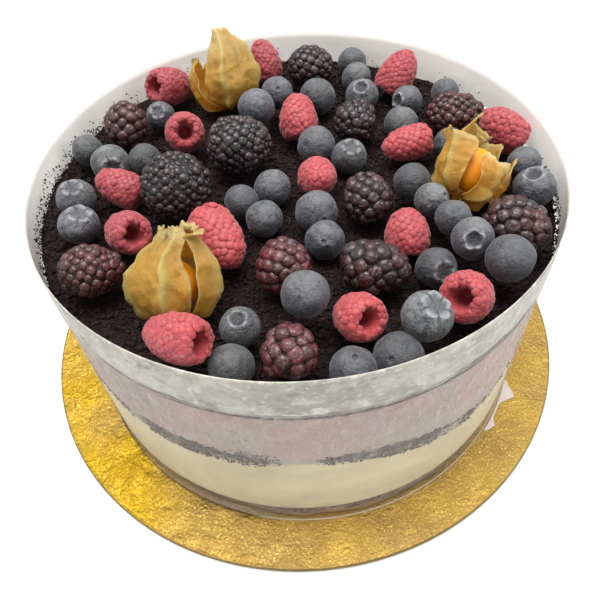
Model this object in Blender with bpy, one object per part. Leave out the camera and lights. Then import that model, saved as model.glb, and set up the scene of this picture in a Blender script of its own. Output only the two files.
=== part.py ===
"""A round layered ice cream cake in a clear collar, topped with crumbs and frozen berries, on a board.

Units are metres and +Z is up. The origin is the middle of the board's underside. The cake stands a
little off the board's centre, so its pieces are placed from the cake's own axis.
"""

import math
import random
from dataclasses import dataclass

import bmesh
import bpy
import numpy as np
from mathutils import Matrix, Vector, noise
from mathutils.bvhtree import BVHTree

MM = 0.001
GAP = 0.3 * MM
SEED = 7

# The board, about 10 inches across, and where the cake stands on it.
BOARD_RADIUS = 126 * MM
BOARD_THICKNESS = 2 * MM
BOARD_EDGE = 0.7 * MM
BOARD_SIDES = 64
CAKE_X = 1.6 * MM
CAKE_Y = -5.0 * MM

# The collar, 8 inches across, and the layers inside it. Heights are above the board's underside.
SIDES = 56
COLLAR_RADIUS = 101.6 * MM
COLLAR_WALL = 0.5 * MM
RIM_HEIGHT = 110 * MM
FILL_RADIUS = COLLAR_RADIUS - COLLAR_WALL - GAP
BISCUIT_RADIUS = 98.2 * MM
BISCUIT_TOP = 8.3 * MM
VANILLA_FOOT_RADIUS = 98.4 * MM
VANILLA_FOOT_HEIGHT = 15 * MM

# The dark seam between the creams: it dips at the right front, ripples, and swells and thins round the cake.
SEAM_HEIGHT = 56 * MM
SEAM_DIP = 10 * MM
SEAM_DIP_TURN = math.radians(-50)
SEAM_DIP_WIDTH = math.radians(20)
SEAM_RIPPLE = 0.8 * MM
SEAM_RIPPLES = 5
SEAM_THINNEST = 1.4 * MM
SEAM_SWELL = 5 * MM
SEAM_LOBES = 7
SEAM_THIN_AT = math.radians(-92)

# The crumb bed falls a little from back to front and from left to right, and banks up at the wall.
BED_HEIGHT = 91 * MM
BED_RISE_BACK = 0.015
BED_RISE_LEFT = 0.010
BED_DEPTH = 2.2 * MM
BANK_HEIGHT = 3.5 * MM
BANK_WIDTH = 14 * MM
BANK_ENDS = (-0.75, -0.1)
LUMP_HEIGHT = 0.9 * MM
LUMP_SPACING = 14 * MM
BED_RINGS = (0.93, 0.8, 0.65, 0.48, 0.3, 0.14)
LAYER_RING = 0.6

# The paper corner that shows on the board: turns about the cake's axis in degrees, reach in metres.
PAPER_THICKNESS = 0.4 * MM
PAPER_INNER = COLLAR_RADIUS + GAP
PAPER_STRIP = 0.8 * MM
PAPER_STEPS = 12
PAPER_TIPS = ((-27.5, 6.5 * MM, 4.0), (-38, 3.5 * MM, 2.5))

# How berries settle against each other.
CONTACT_GAP = 0.35 * MM
FROZEN_TOGETHER = 1.7 * MM
SETTLE_STEPS = 200
SETTLE_RATE = 0.35
STEPS_PER_LANDING = 20

# The toppings' places are in millimetres: x and y from the cake's axis, and how far each berry is
# lifted off the crumbs by those beside it. A turn is about +Z from +X and a lean is above level, in
# degrees.

# Blueberries: x, y, lift and diameter, then the turn and lean of the crown.
BLUEBERRIES = {
    1: (-58.5, 50, 1, 13.5, -93, 53),
    2: (-86.5, 25, 1.5, 14, 200, -40),
    3: (-76, 16.5, 0, 17, -71, 19),
    4: (-85.5, -6, 1.5, 16, -55, 78),
    5: (-82.5, -19.5, 0, 16, -4, 57),
    6: (-62, 19, 0, 14.5, 90, -30),
    7: (-14.5, 41, 6, 17, 120, -50),
    8: (-5, 52, 7, 15, -82, 46),
    9: (13, 56, 0, 17.5, 60, -60),
    10: (10, 18.5, 1, 17, 30, -40),
    11: (23, 12.5, 0, 15.5, -66, 72),
    12: (-9, -5.5, 1, 15.5, 164, 56),
    13: (-21, -11.5, 0.5, 14.5, 200, -50),
    14: (-12.5, -21.5, 0, 15, 0, -60),
    15: (7.5, -21, 0.5, 17, -72, 14),
    16: (9.5, -35, 0, 15, -99, 39),
    17: (32, 83, 0.5, 15, 180, -30),
    18: (32.5, 70, 1.5, 15, 0, -30),
    19: (33.5, 56, 0, 16, -107, 55),
    20: (53, 49, 1, 14.5, -134, 24),
    21: (48, 33, 0, 15.5, 80, -40),
    22: (71.5, 54, 0, 13.5, 90, -45),
    23: (42, -9, 4.5, 15, 60, -60),
    24: (50.5, -23.5, 5.5, 14, -32, 44),
    25: (55.5, -34.5, 6.5, 14, 43, 53),
    26: (46.5, -51.5, 0, 15, -74, 32),
    27: (59.5, -47, 8, 15.5, -106, 39),
    28: (69, -58, 7.5, 17, 20, -50),
    29: (90.5, -16, 0, 17, -168, 73),
    30: (91, -2, 2, 14, 90, -30),
    31: (1, -68, 8.5, 16.5, 70, -50),
    32: (-20.5, -74.5, 4, 14, -95, 79),
    33: (-26, -86, 0, 15.5, 200, -60),
    34: (13, -91, 0.5, 15.5, -26, 88),
    35: (27.5, -88, 0, 17, -127, 46),
    36: (37.5, -79, 6.5, 17, -28, 82),
    37: (66, 18, 0, 14, 90, -40),
}

# Blueberries that are frozen together, each group one solid. The rest lie alone.
CLUSTERS = (
    (1,),
    (2, 3, 6),
    (4, 5),
    (7, 8),
    (9,),
    (10, 11),
    (12, 13, 14),
    (15, 16),
    (17, 18, 19),
    (20,),
    (21,),
    (22,),
    (23, 24, 25, 27, 28),
    (26,),
    (29, 30),
    (31,),
    (32, 33),
    (34, 35, 36),
    (37,),
)
# Members of one group that touch its first berries and not the one before them.
BRANCHES = {6: 3}

# Raspberries: x, y, lift, length and width, the turn and lean of the open end, and whether its
# hollow shows.
RASPBERRIES = (
    (-54, 69, 0, 24, 21, -130, 25, True),
    (-46, 33, 0, 20, 20.5, -75, 35, True),
    (-10.5, 86.5, 0, 20, 18, -60, -60, False),
    (-70, 0, 0, 20, 18, -20, -20, False),
    (-63.5, -26, 0, 20, 19.5, -53, 28, True),
    (-28.5, -34.5, 0, 26, 21.5, 120, 10, False),
    (-39, -82, 8.5, 23, 19, -30, 15, True),
    (3.5, 37, 1, 20, 20, -90, -45, False),
    (9, -3, 0, 19, 19, 90, -30, False),
    (52, 67, 0, 21.5, 20.5, -150, -50, False),
    (47, 16, 1.5, 21, 17, 10, 5, False),
    (87, 18.5, 1, 21, 19, -30, -30, False),
    (39, -35.5, 0, 17.5, 19.5, -90, -50, False),
    (53.5, -68, 1, 19.5, 21, -133, 38, True),
    (18, -74, 1, 19, 19, -60, 35, True),
)

# Brambles: x, y, lift, length and width, and the turn and lean of the stem end.
BRAMBLES = (
    (-71.5, 38, 1, 23.5, 21, -80, -40),
    (-21.5, 15.5, 0, 31, 28, 0, 10),
    (-45, -9, 1, 32, 29, 10, 0),
    (11.5, 78, 0.5, 26, 22, 0, 0),
    (28, 32, 0.5, 23, 21, 60, 20),
    (27, -17.5, 0, 24.5, 21.5, 90, 20),
    (71.5, 34.5, 0, 29, 20, -10, 0),
    (77.5, -38.5, 0, 29.5, 23.5, -50, 0),
    (-6, -49.5, 0, 24, 22.5, 100, 10),
    (25, -53.5, 0, 29, 22.5, -15, 0),
    (-72, -46.5, 0.5, 27, 21.5, 0, 0),
    (-5, -85.5, 2.5, 21, 20, 80, 20),
)

# Husked berries: x, y, lift, width and length, the turn and lean of the husk's tip and of the side
# it has split open on, half the split's angle, and the fruit's diameter.
HUSKED = (
    (-27.5, 64.5, 0, 34, 36, 110, 62, -150, 20, 16, 17),
    (-42, -56, 0, 32, 34, 85, 62, -70, 20, 20, 17),
    (69.5, -8, 0.5, 31, 37, 50, 25, -95, 50, 24, 18),
)
HUSK_WALL = 0.6 * MM
HUSK_STEM_SHARE = 0.42
HUSK_RIBS = 5
HUSK_RIB_DEPTH = 0.08
HUSK_ROWS = (0.10, 0.27, 0.46, 0.64, 0.82)
HUSK_COLUMNS = 14
HUSK_SPLIT_ROOT = 2
FRUIT_SEAT = 2 * MM
FRUIT_INSET = 5 * MM

BERRY_SIDES = 9
BUMP_SHARE = 0.055

GOLD = (0.83, 0.55, 0.12)
CLEAR = (0.85, 0.86, 0.82)
BISCUIT_BROWN = (0.10, 0.06, 0.045)
VANILLA_CREAM = (0.62, 0.53, 0.31)
SEAM_BROWN = (0.09, 0.06, 0.055)
BERRY_PINK = (0.45, 0.31, 0.31)
PAPER_WHITE = (0.8, 0.77, 0.74)
DEEP_BLUE = (0.06, 0.07, 0.10)
BRAMBLE_PURPLE = (0.05, 0.015, 0.03)
RASPBERRY_RED = (0.55, 0.08, 0.10)
HUSK_TAN = (0.62, 0.36, 0.09)
FRUIT_ORANGE = (0.9, 0.32, 0.01)
CRUMB_BROWN = (0.025, 0.014, 0.012)


def smooth_step(low, high, value):
    share = min(1.0, max(0.0, (value - low) / (high - low)))
    return share * share * (3 - 2 * share)


def direction(turn, lean):
    """The unit vector at a turn about +Z, counted from +X, and a lean above level, in degrees."""
    turn, lean = math.radians(turn), math.radians(lean)
    level = Vector((math.cos(turn), math.sin(turn), 0)) * math.cos(lean)
    return level + Vector((0, 0, math.sin(lean)))


def clear_scene():
    for obj in list(bpy.data.objects):
        bpy.data.objects.remove(obj, do_unlink=True)


def material(name, color, roughness, metallic=0.0, alpha=1.0):
    made = bpy.data.materials.new(name)
    made.use_nodes = True
    shader = made.node_tree.nodes["Principled BSDF"]
    shader.inputs["Base Color"].default_value = (*color, 1)
    shader.inputs["Roughness"].default_value = roughness
    shader.inputs["Metallic"].default_value = metallic
    shader.inputs["Alpha"].default_value = alpha
    return made


def new_object(name, bm, parent, finish):
    """The finished object of a bmesh, smooth shaded, with its own material."""
    mesh = bpy.data.meshes.new(name)
    bm.to_mesh(mesh)
    bm.free()
    mesh.shade_smooth()
    mesh.set_sharp_from_angle(angle=math.radians(50))
    mesh.materials.append(finish)
    obj = bpy.data.objects.new(name, mesh)
    bpy.context.scene.collection.objects.link(obj)
    obj.parent = parent
    return obj


def turned(profile, sides, closed=False):
    """A bmesh turned about +Z from a profile of (radius, height) points."""
    bm = bmesh.new()
    points = [bm.verts.new((radius, 0, height)) for radius, height in profile]
    ends = points[1:] + points[:1] if closed else points[1:]
    edges = [bm.edges.new(pair) for pair in zip(points, ends)]
    bmesh.ops.spin(
        bm, geom=points + edges, cent=(0, 0, 0), axis=(0, 0, 1),
        angle=2 * math.pi, steps=sides, use_merge=True,
    )
    bmesh.ops.remove_doubles(bm, verts=bm.verts, dist=1e-6)
    bmesh.ops.recalc_face_normals(bm, faces=bm.faces)
    return bm


# The board, the collar and the layers.


def make_board():
    profile = (
        (0, 0),
        (BOARD_RADIUS - BOARD_EDGE, 0),
        (BOARD_RADIUS, BOARD_THICKNESS / 2),
        (BOARD_RADIUS - BOARD_EDGE / 2, BOARD_THICKNESS),
        (0, BOARD_THICKNESS),
    )
    finish = material("gold_foil", GOLD, 0.3, metallic=1.0)
    return new_object("cake_board", turned(profile, BOARD_SIDES), None, finish)


def make_collar(cake):
    foot = BOARD_THICKNESS + GAP
    inner = COLLAR_RADIUS - COLLAR_WALL
    profile = ((inner, foot), (COLLAR_RADIUS, foot), (COLLAR_RADIUS, RIM_HEIGHT), (inner, RIM_HEIGHT))
    finish = material("clear_film", CLEAR, 0.35, alpha=0.35)
    return new_object("collar", turned(profile, SIDES, closed=True), cake, finish)


def seam_middle(x, y):
    angle = math.atan2(y, x)
    past_dip = (angle - SEAM_DIP_TURN + math.pi) % (2 * math.pi) - math.pi
    dip = SEAM_DIP * math.exp(-((past_dip / SEAM_DIP_WIDTH) ** 2))
    ripple = SEAM_RIPPLE * math.sin(SEAM_RIPPLES * angle)
    return SEAM_HEIGHT - (dip + ripple) * math.hypot(x, y) / FILL_RADIUS


def seam_half(x, y):
    lobes = math.cos(SEAM_LOBES * (math.atan2(y, x) - SEAM_THIN_AT))
    swell = math.sqrt(max(0.0, 1 - lobes * math.hypot(x, y) / FILL_RADIUS) / 2)
    return (SEAM_THINNEST + SEAM_SWELL * swell) / 2


def bed_plane(x, y):
    return BED_HEIGHT + BED_RISE_BACK * y - BED_RISE_LEFT * x


def bed_surface(x, y):
    """The crumb bed: a gentle slope with lumps, banked against the wall except in front."""
    reach = math.hypot(x, y)
    side = y / max(reach, MM)
    bank = BANK_HEIGHT * smooth_step(FILL_RADIUS - BANK_WIDTH, FILL_RADIUS, reach)
    lump = LUMP_HEIGHT * noise.noise(Vector((x, y, 0)) / LUMP_SPACING)
    return bed_plane(x, y) + bank * smooth_step(*BANK_ENDS, side) + lump


def layer(name, cake, radius, floor, top, rings, finish, foot_radius=None):
    """A disc of cake between two surfaces, each of which gives its height at x and y.

    rings says how finely each surface is cut, as shares of the radius, the floor's first.
    """
    bm = bmesh.new()
    bmesh.ops.create_cone(
        bm, cap_ends=True, segments=SIDES, radius1=radius, radius2=radius, depth=2
    )
    bmesh.ops.rotate(bm, verts=bm.verts, cent=(0, 0, 0), matrix=Matrix.Rotation(math.pi / 2, 3, "Z"))
    caps = sorted((f for f in bm.faces if len(f.verts) == SIDES), key=lambda f: f.normal.z)
    for cap, shares in zip(caps, rings):
        reach = radius
        for share in shares:
            width = (reach - radius * share) * math.cos(math.pi / SIDES)
            bmesh.ops.inset_individual(bm, faces=[cap], thickness=width)
            reach = radius * share
    bmesh.ops.poke(bm, faces=caps)
    for vert in bm.verts:
        height = top if vert.co.z > 0 else floor
        vert.co.z = height(vert.co.x, vert.co.y)
    if foot_radius:
        add_foot(bm, radius, foot_radius)
    bmesh.ops.recalc_face_normals(bm, faces=bm.faces)
    return new_object(name, bm, cake, finish)


def add_foot(bm, radius, foot_radius):
    """Draws the bottom edge in to the foot's radius, over the foot's height."""
    geometry = list(bm.verts) + list(bm.edges) + list(bm.faces)
    bmesh.ops.bisect_plane(bm, geom=geometry, plane_co=(0, 0, VANILLA_FOOT_HEIGHT), plane_no=(0, 0, 1))
    for vert in bm.verts:
        reach = math.hypot(vert.co.x, vert.co.y)
        if vert.co.z < VANILLA_FOOT_HEIGHT - MM and reach > radius - MM:
            vert.co.x *= foot_radius / reach
            vert.co.y *= foot_radius / reach


def make_layers(cake):
    biscuit = material("biscuit", BISCUIT_BROWN, 0.85)
    layer("biscuit_base", cake, BISCUIT_RADIUS, lambda x, y: BOARD_THICKNESS + GAP,
          lambda x, y: BISCUIT_TOP, ((), ()), biscuit)
    vanilla = material("vanilla_ice_cream", VANILLA_CREAM, 0.6)
    layer("vanilla_layer", cake, FILL_RADIUS, lambda x, y: BISCUIT_TOP + GAP,
          lambda x, y: seam_middle(x, y) - seam_half(x, y) - GAP, ((), (LAYER_RING,)), vanilla,
          foot_radius=VANILLA_FOOT_RADIUS)
    seam = material("crumb_seam", SEAM_BROWN, 0.9)
    layer("crumb_seam", cake, FILL_RADIUS, lambda x, y: seam_middle(x, y) - seam_half(x, y),
          lambda x, y: seam_middle(x, y) + seam_half(x, y), ((LAYER_RING,), (LAYER_RING,)), seam)
    berry = material("berry_ice_cream", BERRY_PINK, 0.6)
    layer("berry_layer", cake, FILL_RADIUS,
          lambda x, y: seam_middle(x, y) + seam_half(x, y) + GAP,
          lambda x, y: bed_plane(x, y) - BED_DEPTH - GAP, ((LAYER_RING,), ()), berry)
    crumbs = material("dark_crumbs", CRUMB_BROWN, 0.9)
    return layer("crumb_top", cake, FILL_RADIUS, lambda x, y: bed_plane(x, y) - BED_DEPTH,
                 bed_surface, ((), BED_RINGS), crumbs)


def make_paper(cake):
    """The thin corner of lining paper on the board: a strip along the collar's foot with two tips."""
    bm = bmesh.new()
    low, high = PAPER_TIPS[-1], PAPER_TIPS[0]
    first, last = low[0] - low[2], high[0] + high[2]
    inner, outer = [], []
    for index in range(PAPER_STEPS + 1):
        turn = first + (last - first) * index / PAPER_STEPS
        reach = PAPER_INNER + PAPER_STRIP
        for middle, tip, half in PAPER_TIPS:
            reach = max(reach, PAPER_INNER + tip * (1 - abs(turn - middle) / half))
        level = BOARD_THICKNESS + GAP
        inner.append(bm.verts.new(direction(turn, 0) * (PAPER_INNER + GAP) + Vector((0, 0, level))))
        outer.append(bm.verts.new(direction(turn, 0) * (reach + GAP) + Vector((0, 0, level))))
    for index in range(PAPER_STEPS):
        bm.faces.new((inner[index], inner[index + 1], outer[index + 1], outer[index]))
    bmesh.ops.recalc_face_normals(bm, faces=bm.faces)
    bmesh.ops.solidify(bm, geom=bm.faces, thickness=PAPER_THICKNESS)
    base = min(vert.co.z for vert in bm.verts)
    bmesh.ops.translate(bm, verts=bm.verts, vec=(0, 0, BOARD_THICKNESS + GAP - base))
    bmesh.ops.recalc_face_normals(bm, faces=bm.faces)
    return new_object("paper_corner", bm, cake, material("white_paper", PAPER_WHITE, 0.7))


# The berries: each one's shape about its own centre, with +Z to its crown, stem or open end.


@dataclass
class Berry:
    """A berry on the bed: its centre, the way it faces, and balls along its axis that hold it."""

    name: str
    center: Vector
    axis: Vector
    balls: tuple
    build: object
    finish: object


def blueberry_mesh(diameter):
    profile = ((0, -0.45), (0.31, -0.36), (0.49, -0.06), (0.43, 0.24), (0.22, 0.43), (0, 0.35))
    return turned([(radius * diameter, height * diameter) for radius, height in profile], BERRY_SIDES)


def bramble_mesh(length, width, draw):
    """A ball of raised drupelets: the corners of a coarse ball stand out of a finer one."""
    bm = bmesh.new()
    bmesh.ops.create_icosphere(bm, subdivisions=2, radius=1)
    tops = set(bm.verts)
    bmesh.ops.subdivide_edges(bm, edges=bm.edges, cuts=1, use_grid_fill=True)
    twist = Matrix.Rotation(draw.uniform(0, 6), 3, "Z") @ Matrix.Rotation(draw.uniform(0, 6), 3, "X")
    for vert in bm.verts:
        out = twist @ vert.co.normalized()
        out *= draw.uniform(0.95, 1.0) if vert in tops else 0.87
        taper = 1 - 0.1 * out.z
        vert.co = (out.x * taper * width / 2, out.y * taper * width / 2, out.z * length / 2)
    return bm


def raspberry_mesh(length, width, hollow, draw):
    """A blunt cone of drupelets, open at the end that faces +Z where its hollow shows."""
    outer = ((0.29, 0.47), (0.41, 0.36), (0.445, 0.14), (0.40, -0.10), (0.28, -0.32), (0, -0.47))
    inner = ((0, -0.05), (0.14, 0.02), (0.20, 0.43)) if hollow else ((0, 0.46),)
    profile = [(radius * width, height * length) for radius, height in inner + outer]
    bm = turned(profile, BERRY_SIDES)
    bumpy = [
        face for face in bm.faces
        if len(face.verts) == 4
        and math.hypot(*face.calc_center_median().xy) > 0.3 * width
        and face.calc_center_median().z < 0.45 * length
        and face.normal.dot(Vector((*face.calc_center_median().xy, 0))) > 0
    ]
    poked = bmesh.ops.poke(bm, faces=bumpy, offset=BUMP_SHARE * width)
    for vert in poked["verts"]:
        vert.co *= draw.uniform(0.97, 1.0)
    return bm


def fruit_mesh(diameter):
    profile = ((0, -0.49), (0.33, -0.36), (0.49, 0), (0.33, 0.36), (0, 0.49))
    return turned([(radius * diameter, height * diameter) for radius, height in profile], BERRY_SIDES)


def husk_radius(share):
    """The husk's half width along its length, as a share of the widest, from stem 0 to tip 1."""
    return math.sin(math.pi * share ** 0.66) ** 0.72 if 0 < share < 1 else 0.0


def husk_mesh(width, length, split):
    """A papery lantern of five ribs, split open from its tip down the side that faces +X."""
    bm = bmesh.new()
    stem = bm.verts.new((0, 0, -HUSK_STEM_SHARE * length))
    tip = bm.verts.new((0, 0, (1 - HUSK_STEM_SHARE) * length))
    rows = []
    for share in HUSK_ROWS:
        opened = smooth_step(0.05, 0.45, share)
        half = math.radians(HUSK_SPLIT_ROOT + (split - HUSK_SPLIT_ROOT) * opened)
        row = []
        for column in range(HUSK_COLUMNS + 1):
            turn = half + (2 * math.pi - 2 * half) * column / HUSK_COLUMNS
            rib = 1 - HUSK_RIB_DEPTH * (0.5 - 0.5 * math.cos(HUSK_RIBS * turn))
            reach = width / 2 * husk_radius(share) * rib
            height = (share - HUSK_STEM_SHARE) * length
            row.append(bm.verts.new((reach * math.cos(turn), reach * math.sin(turn), height)))
        rows.append(row)
    for column in range(HUSK_COLUMNS):
        bm.faces.new((stem, rows[0][column + 1], rows[0][column]))
        bm.faces.new((tip, rows[-1][column], rows[-1][column + 1]))
        for low, high in zip(rows, rows[1:]):
            bm.faces.new((low[column], low[column + 1], high[column + 1], high[column]))
    bmesh.ops.recalc_face_normals(bm, faces=bm.faces)
    return bm


def blueberry(number, finish):
    x, y, lift, diameter, turn, lean = BLUEBERRIES[number]
    size = diameter * MM
    return Berry(f"blueberry_{number:02d}", Vector((x, y, lift)) * MM, direction(turn, lean),
                 ((0.0, size / 2),), lambda: blueberry_mesh(size), finish)


def raspberry(number, row, finish, draw):
    x, y, lift, length, width, turn, lean, hollow = row
    length, width = length * MM, width * MM
    balls = (
        (length * 0.5 - width * 0.42, width * 0.5),
        (length * 0.12 - width * 0.12, width * 0.48),
        (width * 0.33 - length * 0.48, width * 0.33),
    )
    return Berry(f"raspberry_{number:02d}", Vector((x, y, lift)) * MM, direction(turn, lean), balls,
                 lambda: raspberry_mesh(length, width, hollow, draw), finish)


def bramble(number, row, finish, draw):
    x, y, lift, length, width, turn, lean = row
    length, width = length * MM, width * MM
    spread = (length - width) / 2
    balls = ((spread, width * 0.49), (-spread, width * 0.5))
    return Berry(f"bramble_{number:02d}", Vector((x, y, lift)) * MM, direction(turn, lean), balls,
                 lambda: bramble_mesh(length, width, draw), finish)


def husk(number, row, finish):
    x, y, lift, width, length, turn, lean, _, _, split, _ = row
    width, length = width * MM, length * MM
    balls = ((-0.06 * length, width * 0.5), (0.3 * length, width * 0.28))
    return Berry(f"husk_{number}", Vector((x, y, lift)) * MM, direction(turn, lean), balls,
                 lambda: husk_mesh(width, length, split), finish)


# How the berries lie: each near its own place, clear of the others, resting on the crumbs.


def linked_numbers():
    """The pairs of blueberries that are frozen together."""
    pairs = set()
    for group in CLUSTERS:
        for before, number in zip(group, group[1:]):
            pairs.add((BRANCHES.get(number, before), number))
    return pairs


def resting_height(balls, x, y, bed):
    """The centre height at which the lowest of a berry's balls just clears the bed."""
    height = -1.0
    for offset, radius in balls:
        for share in (0.0, 0.35, 0.6):
            lift = radius * math.sqrt(1 - share * share) - offset.z
            for turn in range(0, 360, 60):
                foot = offset + direction(turn, 0) * radius * share
                height = max(height, bed(x + foot.x, y + foot.y) + lift)
    return height + 2 * GAP


def settle(berries, links, bed):
    """Sets each berry down at its lift, and moves them apart until none overlap."""
    held = [[(berry.axis * along, radius) for along, radius in berry.balls] for berry in berries]
    owners = np.array([index for index, balls in enumerate(held) for _ in balls])
    offsets = np.array([offset for balls in held for offset, _ in balls])
    radii = np.array([radius for balls in held for _, radius in balls])

    apart = radii[:, None] + radii[None, :] + CONTACT_GAP
    joined = np.zeros_like(apart, dtype=bool)
    names = [berry.name for berry in berries]
    for pair in links:
        first, second = (names.index(f"blueberry_{number:02d}") for number in pair)
        both = (owners[:, None] == first) & (owners[None, :] == second)
        joined |= both | both.T
    apart[joined] -= CONTACT_GAP + FROZEN_TOGETHER
    same = owners[:, None] == owners[None, :]
    bulk = np.zeros(len(berries))
    np.add.at(bulk, owners, radii**3)
    yields = bulk[owners][None, :] / (bulk[owners][:, None] + bulk[owners][None, :])
    wall = (COLLAR_RADIUS - COLLAR_WALL) * math.cos(math.pi / SIDES) - CONTACT_GAP

    place = np.array([berry.center for berry in berries])
    lift = place[:, 2].copy()
    for step in range(SETTLE_STEPS):
        if step % STEPS_PER_LANDING == 0:
            rest = np.array([resting_height(balls, *spot[:2], bed) for balls, spot in zip(held, place)])
        if step == 0:
            place[:, 2] = rest + lift
        spots = place[owners] + offsets
        away = spots[:, None] - spots[None, :]
        distance = np.linalg.norm(away, axis=2) + 1e-9
        push = apart - distance
        push = np.where(joined, push, np.maximum(push, 0))
        push[same] = 0
        moves = (away / distance[..., None] * (push * yields)[..., None]).sum(axis=1) * SETTLE_RATE
        reach = np.linalg.norm(spots[:, :2], axis=1)
        over = np.maximum(0, reach + radii - wall)
        moves[:, :2] -= spots[:, :2] / reach[:, None] * over[:, None]
        np.add.at(place, owners, moves)
        place[:, 2] = np.maximum(place[:, 2], rest)
    for berry, spot in zip(berries, place):
        berry.center = Vector(spot)


def place_berry(berry, cake):
    """The berry as its own object, set down and turned to face its way."""
    obj = new_object(berry.name, berry.build(), cake, berry.finish)
    obj.rotation_mode = "QUATERNION"
    obj.rotation_quaternion = berry.axis.to_track_quat("Z", "Y")
    obj.location = berry.center
    return obj


def place_husk(berry, row, cake):
    """A husk turned so that its split faces the way its row says, with the fruit inside it."""
    width, length, open_turn, open_lean, fruit_size = row[3], row[4], row[7], row[8], row[10]
    obj = new_object(berry.name, berry.build(), cake, berry.finish)
    side = direction(open_turn, open_lean)
    side = (side - berry.axis * side.dot(berry.axis)).normalized()
    frame = Matrix((side, berry.axis.cross(side), berry.axis)).transposed()
    obj.rotation_mode = "QUATERNION"
    obj.rotation_quaternion = frame.to_quaternion()
    obj.location = berry.center
    wall = obj.modifiers.new("paper wall", "SOLIDIFY")
    wall.thickness = HUSK_WALL
    wall.offset = -1

    fruit = new_object(f"husk_fruit_{berry.name[-1]}", fruit_mesh(fruit_size * MM), cake,
                       material("orange_fruit", FRUIT_ORANGE, 0.25))
    seat = -HUSK_STEM_SHARE * length * MM + HUSK_WALL + FRUIT_SEAT + fruit_size * MM / 2
    fruit.rotation_mode = "QUATERNION"
    fruit.rotation_quaternion = frame.to_quaternion()
    nearer = (width - fruit_size) / 2 * MM - FRUIT_INSET
    fruit.location = berry.center + berry.axis * seat + side * nearer


def fuse(name, members, cake, finish):
    """Touching blueberries joined into one solid."""
    pieces = [place_berry(member, None) for member in members]
    first = pieces[0]
    bpy.context.view_layer.update()
    if len(pieces) > 1:
        others = bpy.data.collections.new(f"{name} parts")
        bpy.context.scene.collection.children.link(others)
        for piece in pieces[1:]:
            others.objects.link(piece)
        union = first.modifiers.new("frozen together", "BOOLEAN")
        union.operation = "UNION"
        union.operand_type = "COLLECTION"
        union.collection = others
        joined = bpy.data.meshes.new_from_object(
            first.evaluated_get(bpy.context.evaluated_depsgraph_get())
        )
        first.modifiers.remove(union)
        first.data = joined
        for piece in pieces[1:]:
            bpy.data.objects.remove(piece, do_unlink=True)
        bpy.data.collections.remove(others)
    first.name = name
    first.data.name = name
    first.parent = cake
    first.data.materials.clear()
    first.data.materials.append(finish)
    first.data.shade_smooth()


def surface_finder(obj):
    """A function that gives the height of the object's upper surface at x and y."""
    graph = bpy.context.evaluated_depsgraph_get()
    tree = BVHTree.FromObject(obj, graph)
    drop = Vector((0, 0, -1))

    def height(x, y):
        found = tree.ray_cast(Vector((x, y, 1)), drop)[0]
        return found.z if found else BED_HEIGHT

    return height


def make_toppings(cake, bed):
    draw = random.Random(SEED)
    blue = {n: blueberry(n, material("blueberry", DEEP_BLUE, 0.6)) for n in BLUEBERRIES}
    others = [
        raspberry(n, row, material("raspberry", RASPBERRY_RED, 0.6), draw)
        for n, row in enumerate(RASPBERRIES, 1)
    ]
    others += [
        bramble(n, row, material("bramble", BRAMBLE_PURPLE, 0.5), draw)
        for n, row in enumerate(BRAMBLES, 1)
    ]
    husks = [husk(n, row, material("husk", HUSK_TAN, 0.6)) for n, row in enumerate(HUSKED, 1)]
    settle([*blue.values(), *others, *husks], linked_numbers(), bed)
    for berry in others:
        place_berry(berry, cake)
    for berry, row in zip(husks, HUSKED):
        place_husk(berry, row, cake)
    for number, group in enumerate(CLUSTERS, 1):
        members = [blue[n] for n in group]
        fuse(f"blueberries_{number:02d}", members, cake, members[0].finish)
    return [*blue.values(), *others, *husks]


def main():
    clear_scene()
    cake = bpy.data.objects.new("cake", None)
    bpy.context.scene.collection.objects.link(cake)
    cake.location = (CAKE_X, CAKE_Y, 0)
    make_board()
    make_collar(cake)
    crumb_top = make_layers(cake)
    make_paper(cake)
    bpy.context.view_layer.update()
    return make_toppings(cake, surface_finder(crumb_top))


BERRIES = main()
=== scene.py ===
import math
import random

import bmesh
import bpy
import numpy as np
from mathutils import Matrix, Vector, noise
from mathutils.bvhtree import BVHTree


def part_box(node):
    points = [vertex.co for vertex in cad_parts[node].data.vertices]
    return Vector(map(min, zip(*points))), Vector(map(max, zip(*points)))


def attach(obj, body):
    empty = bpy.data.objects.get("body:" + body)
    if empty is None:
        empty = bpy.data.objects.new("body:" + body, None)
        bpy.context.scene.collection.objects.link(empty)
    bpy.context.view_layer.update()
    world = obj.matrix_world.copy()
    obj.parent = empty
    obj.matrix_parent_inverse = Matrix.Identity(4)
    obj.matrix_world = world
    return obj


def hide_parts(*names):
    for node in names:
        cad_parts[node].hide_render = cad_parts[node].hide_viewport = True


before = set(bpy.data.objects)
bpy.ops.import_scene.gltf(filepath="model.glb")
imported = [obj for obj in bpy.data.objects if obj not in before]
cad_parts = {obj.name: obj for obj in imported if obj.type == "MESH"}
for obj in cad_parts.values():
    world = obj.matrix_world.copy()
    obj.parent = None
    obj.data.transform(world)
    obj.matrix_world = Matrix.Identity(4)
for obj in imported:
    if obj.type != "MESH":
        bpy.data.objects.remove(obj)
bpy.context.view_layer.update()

# The looks of a round ice cream cake in a hazy collar, under dark crumbs and frozen berries. Units are
# metres and +Z is up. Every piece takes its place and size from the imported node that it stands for.

MM = 0.001
SEED = 11
GOLDEN_TURN = math.pi * (3 - math.sqrt(5))

# How close the drupelets stand, as a share of the pitch that the tables below give.
RASPBERRY_PITCH = 0.75
BRAMBLE_PITCH = 0.86

# How many loose crumbs and grains there are, and the corners of one that starts as a cube.
COARSE_CRUMBS = 5600
FINE_CRUMBS = 13000
CLINGING_CRUMBS = 1300
SEAM_GRAINS = 5500
CUBE_CORNERS = 8

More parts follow.
